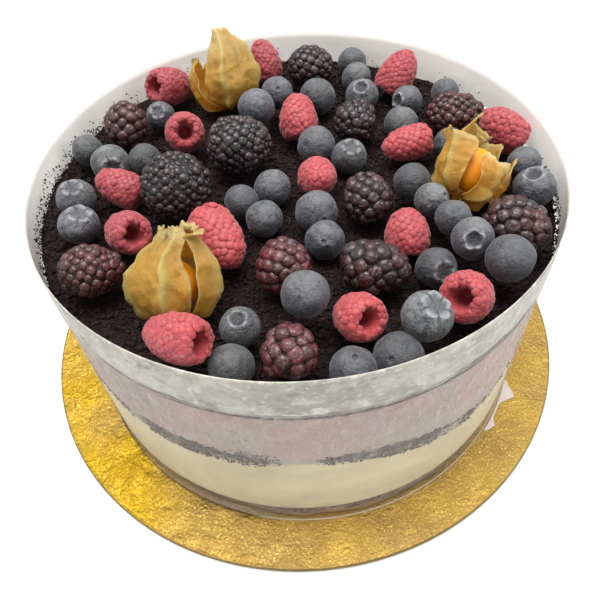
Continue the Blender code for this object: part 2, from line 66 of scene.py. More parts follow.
# Turns round the cake, in degrees from +X: the middle of the front, where cream has closed over the dark
# seam, where a painted reflection of the gold board lies on the foot, where the foot lies furthest in from
# the film, where the foil is most crinkled, and from where to where crumbs have spilled furthest from the
# seam.
FRONT_TURN = -95
GAP_TURN = -92.5
FOOT_REFLECTION_TURN = -93
DRAWN_FOOT_TURN = -122
CRINKLED_TURN = -145
SPILLED_FROM, SPILLED_TO = -108, -97

# The photograph's view: where the camera stands, how it is turned, and its lens.
CAMERA_PLACE = (1.63 * MM, -192.86 * MM, 248.63 * MM)
CAMERA_TURN = (39.826, 2.792, -2.874)
CAMERA_LENS = 35.24

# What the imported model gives: the collar, the board and the cake's own axis.
COLLAR_LOW, COLLAR_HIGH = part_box("collar")
BOARD_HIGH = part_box("cake_board")[1]
AXIS = (COLLAR_LOW + COLLAR_HIGH) / 2
COLLAR_RADIUS = (COLLAR_HIGH.x - COLLAR_LOW.x) / 2
BOARD_RADIUS = BOARD_HIGH.x
BOARD_TOP = BOARD_HIGH.z
PINK_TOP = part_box("berry_layer")[1].z
FOOT_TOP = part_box("biscuit_base")[1].z

# The film's wall, the gap between it and the layers, and the steps round what is turned about the axis.
COLLAR_WALL = 0.5 * MM
LAYER_GAP = 0.3 * MM
LAYER_RADIUS = COLLAR_RADIUS - COLLAR_WALL - LAYER_GAP
ROUND_STEPS = 256

# Blueberries, node by node: near where each lies from the cake's axis in mm, the turn and lean of its
# crown in degrees, the kind of crown, and how dark it is from 0 to 1.
BLUEBERRIES = (
    ((-58, 50, -93, 53, "star", 0.5),),
    ((-87, 25, 200, -40, "dent", 0.75), (-76, 16, -71, 19, "star", 0.4), (-62, 19, 90, -30, "dent", 0.95)),
    ((-86, -6, -55, 78, "star", 0.4), (-82, -20, -4, 70, "flaps", 0.15)),
    ((-14, 41, 120, -50, "dent", 0.4), (-5, 52, -82, 46, "dent", 0.6)),
    ((13, 56, 60, -60, "dent", 0.8),),
    ((10, 18, 30, -40, "dent", 0.65), (23, 12, -66, 72, "star", 0.4)),
    ((-9, -6, 164, 56, "dent", 0.5), (-21, -11, 200, -50, "dent", 0.75), (-12, -21, 0, -60, "dent", 0.65)),
    ((7, -21, -72, 14, "dent", 0.5), (9, -35, -99, 39, "dent", 0.6)),
    ((32, 83, 180, -30, "dent", 0.75), (33, 70, 0, -30, "dent", 0.5), (33, 56, -107, 62, "ring", 0.4)),
    ((53, 49, -150, 24, "ring", 0.6),),
    ((48, 33, 80, -40, "dent", 0.6),),
    ((71, 54, 90, -45, "dent", 0.6),),
    ((45, -11, 60, -60, "dent", 0.95), (50, -23, -32, 44, "dent", 0.3), (55, -34, 43, 53, "dent", 0.7),
     (59, -46, -106, 39, "ring", 0.35), (69, -57, 20, -50, "dent", 0.8)),
    ((46, -52, -74, 32, "star", 0.95),),
    ((91, -16, -168, 73, "ring", 0.35), (91, -2, 90, -30, "dent", 0.5)),
    ((1, -68, 70, -50, "dent", 0.6),),
    ((-20, -74, -95, 79, "ring", 0.5), (-23, -87, 200, -60, "dent", 0.8)),
    ((14, -91, -26, 88, "dent", 0.75), (28, -88, -127, 46, "dent", 0.95), (37, -79, -28, 70, "flaps", 0.15)),
    ((66, 18, 90, -40, "dent", 0.5),),
)

# Crowns: radius, rim height, pit depth and lobe swing, as shares of the berry's radius, and how deep the
# painted shade in the cracks between the lobes runs.
CROWNS = {
    "ring": (0.42, 0.06, 0.12, 0.10, 0.3),
    "star": (0.46, 0.015, 0.05, 0.12, 1.0),
    "flaps": (0.52, 0.02, 0.05, 0.18, 0.9),
    "dent": (0.15, -0.01, 0.09, 0.0, 0.0),
}

# Raspberries: the turn and lean of the open end, whether its hollow shows, how far apart its drupelets
# are in mm, how far they stand out, and how bright the berry is.
RASPBERRIES = (
    (-130, 25, True, 2.7, 0.9, 0.35),
    (-75, 35, True, 2.6, 0.8, 0.5),
    (-60, -60, False, 2.8, 0.9, 0.3),
    (-20, -20, False, 2.8, 0.9, 0.4),
    (-53, 28, True, 2.8, 0.9, 0.35),
    (120, 10, False, 3.4, 1.1, 0.75),
    (-30, 15, True, 2.6, 0.9, 0.7),
    (-90, -45, False, 2.9, 1.0, 0.7),
    (90, -30, False, 2.7, 1.0, 0.75),
    (-150, -50, False, 3.0, 1.0, 0.5),
    (10, 5, False, 3.2, 1.1, 0.7),
    (-30, -30, False, 3.2, 1.1, 0.5),
    (-90, -50, False, 2.9, 1.0, 0.6),
    (-133, 38, True, 2.5, 0.9, 0.7),
    (-60, 35, True, 2.7, 0.9, 0.9),
)

# Brambles: the turn and lean of the stem end, how far apart the drupelets are in mm, how uneven they
# are, and how red and how frosted the berry is.
BRAMBLES = (
    (-80, -40, 4.8, 0.15, 0.30, 0.4),
    (0, 10, 3.6, 0.35, 0.0, 0.45),
    (10, 0, 3.4, 0.40, 0.0, 0.25),
    (0, 0, 4.2, 0.15, 0.10, 0.4),
    (60, 20, 4.2, 0.25, 0.03, 0.3),
    (90, 20, 4.6, 0.25, 0.12, 0.5),
    (-10, 0, 3.6, 0.30, 0.45, 0.3),
    (-50, 0, 5.2, 0.12, 0.25, 0.6),
    (100, 10, 4.6, 0.15, 0.60, 0.5),
    (-15, 0, 5.2, 0.30, 0.15, 0.6),
    (0, 0, 3.6, 0.30, 0.45, 0.3),
    (80, 20, 4.8, 0.20, 0.62, 0.5),
)

# How far up a husk its own middle is, where the fruit lies, as a share of its length.
HUSK_MIDDLE = 0.42

# Husks: the turn and lean of the tip and of the side that has split open, how much the shoulders slope, and
# how far the tip leans to the right in mm. The split is given, at shares of the length, by the turns of its
# left and right edge from that side. The sepals hold together up to a share of the length. Past it each has
# its own end, a point from 0, blunt, to 1 or a width below 0, how far it flares in mm, and how pale it is.
HUSKS = (
    {
        "tip": (110, 62), "open": (-150, 20), "slope": 0.0, "bent": 0, "joined": 0.5,
        "split": ((0.05, 0, 16), (0.25, -4, 20), (0.45, -4, 20), (0.62, -16, 32), (0.85, -24, 40)),
        "sepals": ((0.93, 0.2, 0, 0.3), (0.92, 0.1, 0, 0.2), (0.90, 0.2, 0, 0.2), (0.60, 0.3, 0, 0.2),
                   (0.66, 1.0, 0, 0.0)),
    },
    {
        "tip": (85, 62), "open": (-70, 20), "slope": 0.45, "bent": 4, "joined": 0.78,
        "split": ((0.1, 15, 19), (0.3, 11, 23), (0.48, 12, 22), (0.6, 4, 26), (0.67, 0, 30),
                  (0.76, 10, 20), (0.82, 20, 12)),
        "sepals": ((0.85, 0.0, 4, 0.4), (0.86, 0.0, 3, 0.6), (0.85, 0.0, 0, 0.3), (0.88, 0.0, 1, 0.4),
                   (0.90, 0.0, 1, 0.5)),
    },
    {
        "tip": (50, 25), "open": (-95, 50), "slope": 0.0, "bent": 0, "joined": 0.28,
        "split": ((0.0, -20, 26), (0.1, -17, 22), (0.25, -17, 3), (0.33, -17, 1), (0.45, -22, 6),
                  (0.6, -30, 16)),
        "sepals": ((0.40, 0.0, 0, 0.9), (0.64, 0.0, 2, 0.1), (0.80, -0.3, 2, 0.0), (0.87, -1.0, 4, 0.0),
                   (0.51, 0.0, 5, 0.4)),
    },
)


def clamp(value, low=0.0, high=1.0):
    return min(high, max(low, value))


def smooth_step(low, high, value):
    share = clamp((value - low) / (high - low))
    return share * share * (3 - 2 * share)


def direction(turn, lean):
    """The unit vector at a turn about +Z, counted from +X, and a lean above level, in degrees."""
    turn, lean = math.radians(turn), math.radians(lean)
    level = Vector((math.cos(turn), math.sin(turn), 0)) * math.cos(lean)
    return level + Vector((0, 0, math.sin(lean)))


def turn_of(x, y):
    """The turn about +Z of a place that lies x and y from the axis, in degrees."""
    return math.degrees(math.atan2(y, x))


def uneven(spot, size, shift=Vector((0, 0, 0))):
    """Smooth noise from -1 to 1 at a spot, with swellings of a size in mm."""
    return noise.noise(spot / (size * MM) + shift)


def jitter(draw):
    return Vector((draw.gauss(0, 1), draw.gauss(0, 1), draw.gauss(0, 1)))


def random_shift(draw):
    return Vector((draw.random(), draw.random(), draw.random())) * 9


def facing(out):
    """The turn that brings +Z to the way out."""
    return out.to_track_quat("Z", "Y").to_matrix()


# Finishes.


class Finish:
    """A procedural material in the making: its shader, and small functions that add its nodes.

    Sizes of patterns and depths of relief are in mm.
    """

    def __init__(self, name, **sockets):
        self.material = bpy.data.materials.new(name)
        self.material.use_nodes = True
        self.tree = self.material.node_tree
        self.shader = self.tree.nodes["Principled BSDF"]
        self.place = self.tree.nodes.new("ShaderNodeTexCoord").outputs["Object"]
        for socket, value in sockets.items():
            self.shader.inputs[socket.replace("_", " ")].default_value = value

    def node(self, kind, inputs, output=0, **settings):
        made = self.tree.nodes.new("ShaderNode" + kind)
        for setting, value in settings.items():
            setattr(made, setting, value)
        for socket, value in inputs.items():
            if isinstance(value, bpy.types.NodeSocket):
                self.tree.links.new(value, made.inputs[socket])
            else:
                made.inputs[socket].default_value = value
        return made.outputs[output]

    def set(self, socket, value):
        self.tree.links.new(value, self.shader.inputs[socket])

    def paint(self, colour):
        self.set("Base Color", colour)

    def roughen(self, value, low, high, start=0.3, end=0.7):
        """Roughness from low to high, as a value runs from its start to its end."""
        self.set("Roughness", self.span(value, start, end, low, high))

    def noise(self, size, detail=2.0, rough=0.5, warp=0.0, place=None):
        inputs = {"Vector": place or self.place, "Scale": 1 / (size * MM), "Detail": detail,
                  "Roughness": rough, "Distortion": warp}
        return self.node("TexNoise", inputs)

    def cells(self, size, output=0):
        """Small cells: output 0 is how far each spot is from its cell's middle, 1 the cell's own colour."""
        return self.node("TexVoronoi", {"Vector": self.place, "Scale": 1 / (size * MM)}, output)

    def stretched(self, height):
        """The place with its height multiplied, for patterns that lie flat or stand tall."""
        return self.node("Mapping", {"Vector": self.place, "Scale": (1, 1, height)})

    def along(self, axis):
        return self.node("SeparateXYZ", {"Vector": self.place}, axis)

    def upward(self):
        """How far the surface faces up, from -1 to 1."""
        return self.node("SeparateXYZ", {"Vector": self.node("NewGeometry", {}, 1)}, 2)

    def maths(self, kind, first, second=0.0, third=0.0):
        return self.node("Math", {0: first, 1: second, 2: third}, operation=kind)

    def times(self, first, second):
        return self.maths("MULTIPLY", first, second)

    def plus(self, first, second):
        return self.maths("ADD", first, second)

    def minus(self, first, second):
        return self.maths("SUBTRACT", first, second)

    def blend(self, share, first, second):
        return self.node("Mix", {"Factor": share, "A": first, "B": second})

    def span(self, value, low, high, to_low=0.0, to_high=1.0):
        inputs = {"Value": value, "From Min": low, "From Max": high, "To Min": to_low, "To Max": to_high}
        return self.node("MapRange", inputs)

    def mark(self, channel):
        """One channel of the piece's own marks: 0 its tone, 1 what is pale, 2 what is dark. On husks 0 is a
        painted glow, on berries 2 is painted shade, and on the biscuit 1 is a painted reflection.
        """
        marks = self.node("Attribute", {}, attribute_name="marks")
        return self.node("SeparateColor", {"Color": marks}, channel)

    def mix(self, share, first, second):
        """A colour between two others."""
        made = self.tree.nodes.new("ShaderNodeMix")
        made.data_type = "RGBA"
        for socket, value in ((0, share), (6, first), (7, second)):
            if isinstance(value, bpy.types.NodeSocket):
                self.tree.links.new(value, made.inputs[socket])
            elif socket:
                made.inputs[socket].default_value = (*value, 1)
            else:
                made.inputs[socket].default_value = value
        return made.outputs[2]

    def bump(self, height, depth, under=None):
        inputs = {"Height": height, "Distance": depth * MM, "Strength": 1.0}
        if under:
            inputs["Normal"] = under
        return self.node("Bump", inputs)

    def relief(self, height, depth, under=None):
        self.set("Normal", self.bump(height, depth, under))


def foil_finish():
    """Gold foil on card: painted glare in bright yellow at the left, ochre and pebbled elsewhere, painted
    glints and a darker rim.
    """
    made = Finish("crinkled gold foil", Metallic=1.0, Roughness=0.35)
    reach = made.node("VectorMath", {0: made.stretched(0)}, 1, operation="LENGTH")
    # Painted light: at the left the foil's colour is a separate saturated yellow, matched to the glare
    # there; the same mask makes the crinkles heavier.
    bright = made.times(made.span(made.along(0), -45 * MM, -75 * MM), made.span(made.noise(30, 3), 0.3, 0.6))
    patches = made.span(made.noise(22, 3), 0.35, 0.65)
    ochre = made.mix(patches, (0.51, 0.33, 0.078), (0.39, 0.255, 0.082))
    gold = made.mix(bright, ochre, (0.53, 0.335, 0.021))
    # Painted glints: small brighter yellow spots painted into the foil's colour.
    painted_glints = made.span(made.noise(0.9, 2), 0.58, 0.72)
    gold = made.mix(painted_glints, gold, (0.88, 0.60, 0.14))
    dark_rim = made.span(reach, BOARD_RADIUS - 0.9 * MM, BOARD_RADIUS - 0.5 * MM)
    made.paint(made.mix(made.times(dark_rim, 0.8), gold, (0.22, 0.17, 0.07)))
    made.roughen(made.noise(6, 3), 0.40, 0.60)
    pebbles = made.bump(made.noise(1.3, 3, 0.6), 0.5)
    crinkles = made.times(made.noise(6, 3, 0.5, 1.2), made.span(bright, 0.0, 1.0, 0.25, 1.0))
    made.relief(crinkles, 0.9, pebbles)
    return made.material


def frost_tone_with_painted_light(made, cloud, blots, front):
    """The colour of the frost above the ice cream: mottled grey in front as painted shade, nearly white
    behind as painted light.
    """
    grey = made.mix(made.span(cloud, 0.38, 0.62), (0.37, 0.36, 0.305), (0.50, 0.485, 0.42))
    mottle = made.noise(3.2, 4, 0.7, 0.2, made.stretched(1.5))
    for value, low, high, most, tone in (
        (blots, 0.44, 0.30, 1.0, (0.24, 0.233, 0.205)),
        (mottle, 0.44, 0.32, 0.8, (0.27, 0.262, 0.222)),
        (mottle, 0.54, 0.66, 0.85, (0.66, 0.645, 0.57)),
        (blots, 0.55, 0.66, 0.8, (0.58, 0.56, 0.49)),
        (made.cells(10), 0.07, 0.05, 0.6, (0.12, 0.11, 0.10)),
    ):
        grey = made.mix(made.span(value, low, high, 0.0, most), grey, tone)
    # Painted light and shade: the same frost is near white behind, where light shines through the film, and
    # grey in front.
    return made.mix(front, (0.93, 0.905, 0.85), grey)


def film_finish():
    """Clear film with frost on it: dense above the ice cream, thin over the layers, clear at the foot, with
    painted light and shade.
    """
    made = Finish("frosted clear film", Roughness=0.3, IOR=1.45)
    across, height = made.along(0), made.along(2)

    def over_pink(value, start, end):
        return made.span(value, PINK_TOP + start * MM, PINK_TOP + end * MM)

    def over_foot(start, end, *reach):
        return made.span(height, FOOT_TOP + start * MM, FOOT_TOP + end * MM, *reach)

    cloud = made.noise(24, 3, 0.5, 0.3, made.stretched(1.8))
    blots = made.noise(8, 5, 0.6, 0.25, made.stretched(1.4))
    fingers = made.noise(3, 4, 0.6, 0.4, made.stretched(0.4))
    wavy = made.plus(height, made.span(made.noise(9, 3), 0.3, 0.7, -0.8 * MM, 0.8 * MM))
    front = made.span(made.along(1), -10 * MM, -60 * MM)
    bare_side = made.span(made.maths("ABSOLUTE", across), 35 * MM, 75 * MM)

    thinner = made.times(bare_side, over_pink(height, 8, 2))
    thinner = made.times(thinner, made.span(blots, 0.35, 0.6, 0.0, 0.4))
    thick = made.blend(front, made.span(cloud, 0.3, 0.7, 0.50, 0.60), made.span(cloud, 0.3, 0.7, 0.92, 0.99))
    dense = made.minus(thick, made.times(thinner, front))
    veil = made.times(made.span(fingers, 0.35, 0.75, 0.10, 0.42), made.span(cloud, 0.25, 0.65, 0.5, 1.0))
    haze = made.span(cloud, 0.3, 0.7, 0.08, 0.18)
    layers = made.times(made.blend(made.span(height, 57 * MM, 62 * MM), haze, veil), over_foot(1, 8))
    body = made.blend(over_pink(wavy, -0.4, 0.4), layers, dense)

    upper = made.minus(wavy, made.times(bare_side, 3 * MM))
    line = made.times(over_pink(wavy, 0.1, 0.6), over_pink(upper, 1.5, 0.9))
    line = made.times(line, made.span(made.noise(20, 2), 0.3, 0.6, 0.15, 0.5))
    lump = made.times(over_pink(wavy, 1, 2), over_pink(wavy, 6.5, 2.5))
    lump = made.times(lump, made.span(blots, 0.52, 0.62))
    foot = made.span(height, COLLAR_LOW.z + 0.9 * MM, COLLAR_LOW.z + 0.5 * MM)
    fogged = made.times(made.span(across, -10 * MM, -30 * MM), over_foot(4, 0, 0.0, 0.4))
    alpha = made.plus(made.minus(body, line), made.maths("MULTIPLY_ADD", foot, 0.6, fogged))
    alpha = made.plus(alpha, made.maths("MULTIPLY_ADD", lump, 0.2, 0.05))
    made.set("Alpha", made.maths("MINIMUM", alpha, 1.0))

    low = made.mix(made.span(fingers, 0.35, 0.7), (0.46, 0.415, 0.38), (0.62, 0.55, 0.51))
    shade = made.mix(over_pink(height, -1, 1), low, frost_tone_with_painted_light(made, cloud, blots, front))
    shade = made.mix(made.times(lump, 0.8), shade, (0.70, 0.69, 0.62))
    shade = made.mix(line, shade, (0.20, 0.18, 0.17))
    # Painted highlight and shade along the film's foot: a dark line at the left, a pale glint elsewhere.
    foot_painted_glint_and_shade = made.mix(made.span(across, -28 * MM, -20 * MM), (0.045, 0.035, 0.025), (0.85, 0.80, 0.68))
    made.paint(made.mix(foot, shade, foot_painted_glint_and_shade))
    made.set("Roughness", over_foot(4, 14, 0.12, 0.5))
    made.relief(blots, 0.4)
    return made.material


def vanilla_finish():
    made = Finish("smooth vanilla ice cream", Roughness=0.55, Subsurface_Weight=0.15,
                  Subsurface_Scale=0.002)
    cloud = made.span(made.noise(18, 3), 0.3, 0.7)
    made.paint(made.mix(cloud, (0.78, 0.70, 0.40), (0.86, 0.78, 0.485)))
    made.relief(made.noise(3, 3), 0.25)
    made.roughen(made.noise(5), 0.45, 0.65)
    return made.material


def berry_cream_finish():
    """Pale pink ice cream, pinker in places, with frost streaks and dark specks."""
    made = Finish("pale pink berry ice cream", Roughness=0.6)
    pinker = made.span(made.noise(30, 3, 0.6), 0.42, 0.62)
    base = made.mix(pinker, (0.50, 0.425, 0.35), (0.59, 0.385, 0.325))
    streaks = made.noise(2.2, 4, 0.6, 0.5, made.stretched(0.45))
    frosty = made.mix(made.span(streaks, 0.5, 0.72), base, (0.66, 0.58, 0.56))
    specks = made.span(made.cells(7), 0.10, 0.06)
    fleck = made.span(made.noise(2.5, 3), 0.60, 0.66)
    dotted = made.mix(made.times(specks, 0.8), frosty, (0.16, 0.10, 0.10))
    made.paint(made.mix(made.times(fleck, 0.35), dotted, (0.25, 0.18, 0.18)))
    made.roughen(streaks, 0.5, 0.75)
    made.relief(streaks, 0.5)
    return made.material


def crumb_finish(name, dark, light, size):
    """Dry dark biscuit crumbs, each a little different, with pale frost on a few."""
    made = Finish(name, Roughness=0.9, Sheen_Weight=0.02, Sheen_Roughness=0.5, Specular_IOR_Level=0.15)
    tone = made.span(made.cells(size, 1), 0.0, 1.0)
    base = made.mix(tone, dark, light)
    frost = made.span(made.noise(size * 1.5, 3), 0.62, 0.8)
    made.paint(made.mix(made.times(frost, 0.3), base, (0.20, 0.15, 0.145)))
    made.relief(made.noise(size * 0.5, 3), size * 0.4)
    made.roughen(made.noise(size), 0.75, 0.95)
    return made.material


def seam_finish():
    """Dark crumbs with grey cream smeared between them, more of it low in the seam."""
    made = Finish("crumb seam", Roughness=0.8)
    grains = made.mix(made.cells(1.3, 1), (0.006, 0.004, 0.004), (0.075, 0.055, 0.052))
    low_down = made.span(made.mark(0), 1.0, 0.0, -0.10, 0.08)
    wide = made.noise(4.5, 4, 0.7, 0.5, made.stretched(1.6))
    closed = made.times(made.mark(1), 0.45)
    smears = made.span(made.plus(made.plus(wide, low_down), closed), 0.44, 0.56)
    fine = made.plus(made.span(made.noise(1.6, 3, 0.6), 0.40, 0.58, 0.3, 1.0), made.mark(1))
    cream = made.mix(made.noise(9), (0.34, 0.29, 0.25), (0.46, 0.41, 0.34))
    cream = made.mix(made.mark(1), cream, (0.52, 0.47, 0.40))
    smeared = made.maths("MINIMUM", made.times(smears, fine), 1.0)
    made.paint(made.mix(smeared, grains, cream))
    made.roughen(made.noise(2), 0.7, 0.9)
    made.relief(made.noise(1, 3), 0.4)
    return made.material


def biscuit_finish():
    """Dark biscuit above; below, a painted reflection of the gold board at the front and cream at the left.
    """
    made = Finish("dark biscuit", Roughness=0.85)
    grains = made.mix(made.cells(1.5, 1), (0.035, 0.026, 0.021), (0.31, 0.235, 0.18))
    ragged = made.plus(made.along(2), made.span(made.noise(4, 4, 0.65), 0.3, 0.7, -1.8 * MM, 1.8 * MM))
    # Painted reflection: the gold board's colour painted on the foot of the biscuit.
    gold = made.mix(made.noise(2), (0.33, 0.22, 0.09), (0.52, 0.37, 0.165))
    smeared = made.mix(made.mark(2), (0.17, 0.125, 0.10), (0.36, 0.31, 0.24))
    below = made.mix(made.mark(1), smeared, gold)
    low_down = made.span(ragged, FOOT_TOP - 1.5 * MM, FOOT_TOP - 3 * MM)
    made.paint(made.mix(low_down, grains, below))
    made.roughen(made.noise(1), 0.7, 0.95)
    made.relief(made.noise(0.8, 3), 0.5)
    return made.material


def blueberry_finish():
    """Dark blue skin under a mottled grey bloom, rubbed thin in places, with pale frost on top as painted
    light, painted shade below and in the crown.
    """
    made = Finish("frozen blueberry skin", Roughness=0.55, Sheen_Weight=0.3, Sheen_Roughness=0.4,
                  Sheen_Tint=(0.85, 0.88, 0.92, 1))
    cloud = made.span(made.noise(3.6, 5, 0.7, 0.8), 0.38, 0.62)
    fine = made.span(made.noise(1.0, 3, 0.65), 0.47, 0.66)
    hue = made.span(made.noise(32, 1), 0.4, 0.6)
    rubbed = made.mix(hue, (0.019, 0.020, 0.023), (0.020, 0.020, 0.030))
    bloomed = made.mix(hue, (0.118, 0.126, 0.126), (0.120, 0.122, 0.165))
    bloom = made.mix(cloud, rubbed, bloomed)
    bloom = made.mix(made.times(fine, 0.5), bloom, (0.21, 0.22, 0.235))
    upward = made.upward()
    # Painted light: the pale frost is painted only on the faces that look up.
    frost = made.times(made.span(upward, 0.40, 1.0), made.span(cloud, 0.0, 1.0, 0.3, 0.8))
    frosted = made.mix(frost, bloom, (0.31, 0.32, 0.325))
    # Painted shade: darker on the faces that look down.
    shaded = made.mix(made.span(upward, 0.35, -0.4, 0.0, 0.8), frosted, (0.014, 0.014, 0.018))
    toned = made.mix(made.times(made.mark(0), 0.8), shaded, (0.026, 0.027, 0.030))
    ridge = made.mix(made.mark(1), toned, (0.36, 0.37, 0.40))
    # Painted shade in the crown's pit and in the cracks between its lobes.
    made.paint(made.mix(made.mark(2), ridge, (0.008, 0.008, 0.011)))
    made.roughen(cloud, 0.36, 0.70, 0.0, 1.0)
    wrinkles = made.bump(made.noise(2.4, 4, 0.6), 1.1)
    made.relief(made.noise(0.6, 2), 0.10, wrinkles)
    return made.material


def raspberry_finish():
    """Coral-red drupelets with soft pink frost on top, and painted shade in the darker rosy creases between
    them.
    """
    made = Finish("frozen raspberry", Roughness=0.6, Sheen_Weight=0.5, Sheen_Roughness=0.4,
                  Sheen_Tint=(1.0, 0.72, 0.74, 1), Subsurface_Weight=0.15, Subsurface_Scale=0.002,
                  Subsurface_Radius=(1.0, 0.25, 0.2))
    base = made.mix(made.mark(0), (0.26, 0.030, 0.044), (0.50, 0.060, 0.063))
    patches = made.span(made.noise(7, 3, 0.6), 0.38, 0.66)
    frost = made.span(made.noise(1.4, 4, 0.65), 0.42, 0.72)
    share = made.times(made.times(frost, made.mark(1)), made.span(patches, 0, 1, 0.15, 0.75))
    frosted = made.mix(share, base, (0.70, 0.29, 0.31))
    # Painted shade: darker red below each drupelet's crease and on the core, deepest in the hollow.
    made.paint(made.mix(made.mark(2), frosted, (0.32, 0.028, 0.045)))
    made.roughen(frost, 0.45, 0.8, 0.0, 1.0)
    made.relief(made.noise(0.6, 3, 0.6), 0.12)
    return made.material


def bramble_finish():
    """Near-black and red drupelets, glossy where they are bare and greyish pink where frost sits."""
    made = Finish("frozen bramble", Roughness=0.4, Coat_Weight=0.55, Coat_Roughness=0.12)
    base = made.mix(made.mark(0), (0.005, 0.0025, 0.003), (0.135, 0.016, 0.021))
    frost = made.span(made.noise(1.0, 4, 0.7), 0.44, 0.66)
    frosted = made.mix(made.times(frost, made.mark(1)), base, (0.18, 0.12, 0.13))
    # Painted shade: near black below each drupelet's crease and on the core between them.
    made.paint(made.mix(made.mark(2), frosted, (0.003, 0.001, 0.0015)))
    made.roughen(frost, 0.32, 0.75, 0.0, 1.0)
    pitted = made.bump(made.noise(1.9, 2, 0.5), 0.9)
    made.relief(made.noise(0.7, 3, 0.6), 0.35, pitted)
    return made.material


def husk_finish():
    """Dry papery husk: tan panels with a painted orange glow near the fruit, painted shade where they face
    up, pale lips and fine veins.
    """
    made = Finish("dry papery husk", Roughness=0.55, Subsurface_Weight=0.7, Subsurface_Scale=0.0025,
                  Subsurface_Radius=(1.0, 0.6, 0.25))
    cloud = made.span(made.noise(5, 4, 0.65, 0.6), 0.34, 0.66)
    veins = made.noise(1.6, 4, 0.7, 1.5)
    panel = made.mix(cloud, (0.43, 0.225, 0.037), (0.58, 0.35, 0.088))
    upward = made.upward()
    # Painted shade: panels that face up are darker.
    panel = made.mix(made.span(upward, 0.45, 0.95, 0.0, 0.5), panel, (0.30, 0.16, 0.03))
    # Painted glow: orange painted on panels near the fruit, for light shining through.
    painted_glow = made.mix(made.mark(0), panel, (0.62, 0.27, 0.018))
    netted = made.mix(made.span(veins, 0.55, 0.68, 0.0, 0.55), painted_glow, (0.30, 0.13, 0.02))
    ribbed = made.mix(made.mark(1), netted, (0.66, 0.43, 0.13))
    made.paint(made.mix(made.mark(2), ribbed, (0.72, 0.54, 0.25)))
    thin = made.times(made.mark(2), -0.15)
    made.set("Alpha", made.plus(made.span(cloud, 0.0, 1.0, 0.86, 0.96), thin))
    made.roughen(cloud, 0.4, 0.65, 0.0, 1.0)
    made.relief(veins, 0.5)
    return made.material


def fruit_finish():
    made = Finish("glossy orange fruit", Roughness=0.45, Coat_Weight=0.08, Coat_Roughness=0.35,
                  Subsurface_Weight=0.2, Subsurface_Scale=0.003)
    cloud = made.span(made.noise(6, 2), 0.3, 0.7)
    made.paint(made.mix(cloud, (0.90, 0.28, 0.002), (0.95, 0.38, 0.004)))
    made.roughen(made.noise(2), 0.40, 0.55)
    made.relief(made.noise(1.5, 2), 0.08)
    return made.material


def paper_finish():
    made = Finish("greaseproof paper", Roughness=0.75)
    fibre = made.noise(1.0, 4, 0.6)
    made.paint(made.mix(made.span(fibre, 0.3, 0.7), (0.72, 0.62, 0.58), (0.84, 0.76, 0.72)))
    made.relief(fibre, 0.15)
    return made.material


# Shapes.


def turned(profile, steps, closed=False):
    """A bmesh turned about +Z from a profile of (radius, height) points."""
    bm = bmesh.new()
    points = [bm.verts.new((radius, 0, height)) for radius, height in profile]
    ends = points[1:] + points[:1] if closed else points[1:]
    edges = [bm.edges.new(pair) for pair in zip(points, ends)]
    bmesh.ops.spin(bm, geom=points + edges, cent=(0, 0, 0), axis=(0, 0, 1), angle=2 * math.pi,
                   steps=steps, use_merge=True)
    bmesh.ops.remove_doubles(bm, verts=bm.verts, dist=1e-7)
    bmesh.ops.recalc_face_normals(bm, faces=bm.faces)
    return bm


def marks_layer(bm):
    return bm.verts.layers.float_color.get("marks") or bm.verts.layers.float_color.new("marks")


def new_piece(name, mesh, finish, slot, *nodes):
    """A finished piece: smooth, on the cake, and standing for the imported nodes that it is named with."""
    if isinstance(mesh, bmesh.types.BMesh):
        bm, mesh = mesh, bpy.data.meshes.new(name)
        bm.to_mesh(mesh)
        bm.free()
    mesh.shade_smooth()
    mesh.materials.append(finish)
    piece = bpy.data.objects.new(name, mesh)
    bpy.context.scene.collection.objects.link(piece)
    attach(piece, "root")
    if nodes:
        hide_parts(*nodes)
    return piece


def finer(piece, levels=1):
    smooth = piece.modifiers.new("finer", "SUBSURF")
    smooth.levels = smooth.render_levels = levels
    return piece


def node_points(node):
    return np.array([vert.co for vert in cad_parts[node].data.vertices])


def berry_frame(node, turn, lean):
    """A packed berry's own place, with the end that is turned and leant so at +Z, and its size there."""
    frame_turn = facing(direction(turn, lean))
    points = node_points(node) @ np.array(frame_turn)
    low, high = points.min(axis=0), points.max(axis=0)
    middle = frame_turn @ Vector((low + high) / 2)
    return Matrix.Translation(middle) @ frame_turn.to_4x4(), Vector(high - low)


def balls_of(node, starts):
    """The middle and radius of each berry in a node of berries frozen together, from near places.

    Each round gives every point to the nearest ball and fits the balls to their own points again.
    """
    points = node_points(node)
    middles = np.array([(AXIS.x + x * MM, AXIS.y + y * MM, points[:, 2].mean()) for x, y in starts])
    radii, rounds = np.full(len(starts), 7.5 * MM), 6
    for _ in range(rounds):
        reach = np.linalg.norm(points[:, None] - middles[None], axis=2)
        owner = np.abs(reach - radii).argmin(axis=1)
        for index in range(len(starts)):
            own = points[owner == index]
            fit = np.linalg.lstsq(np.c_[2 * own, np.ones(len(own))], (own**2).sum(axis=1), rcond=None)[0]
            middles[index] = fit[:3]
            radii[index] = math.sqrt(fit[3] + fit[:3] @ fit[:3])
    return [(Vector(middle), radius) for middle, radius in zip(middles, radii)]


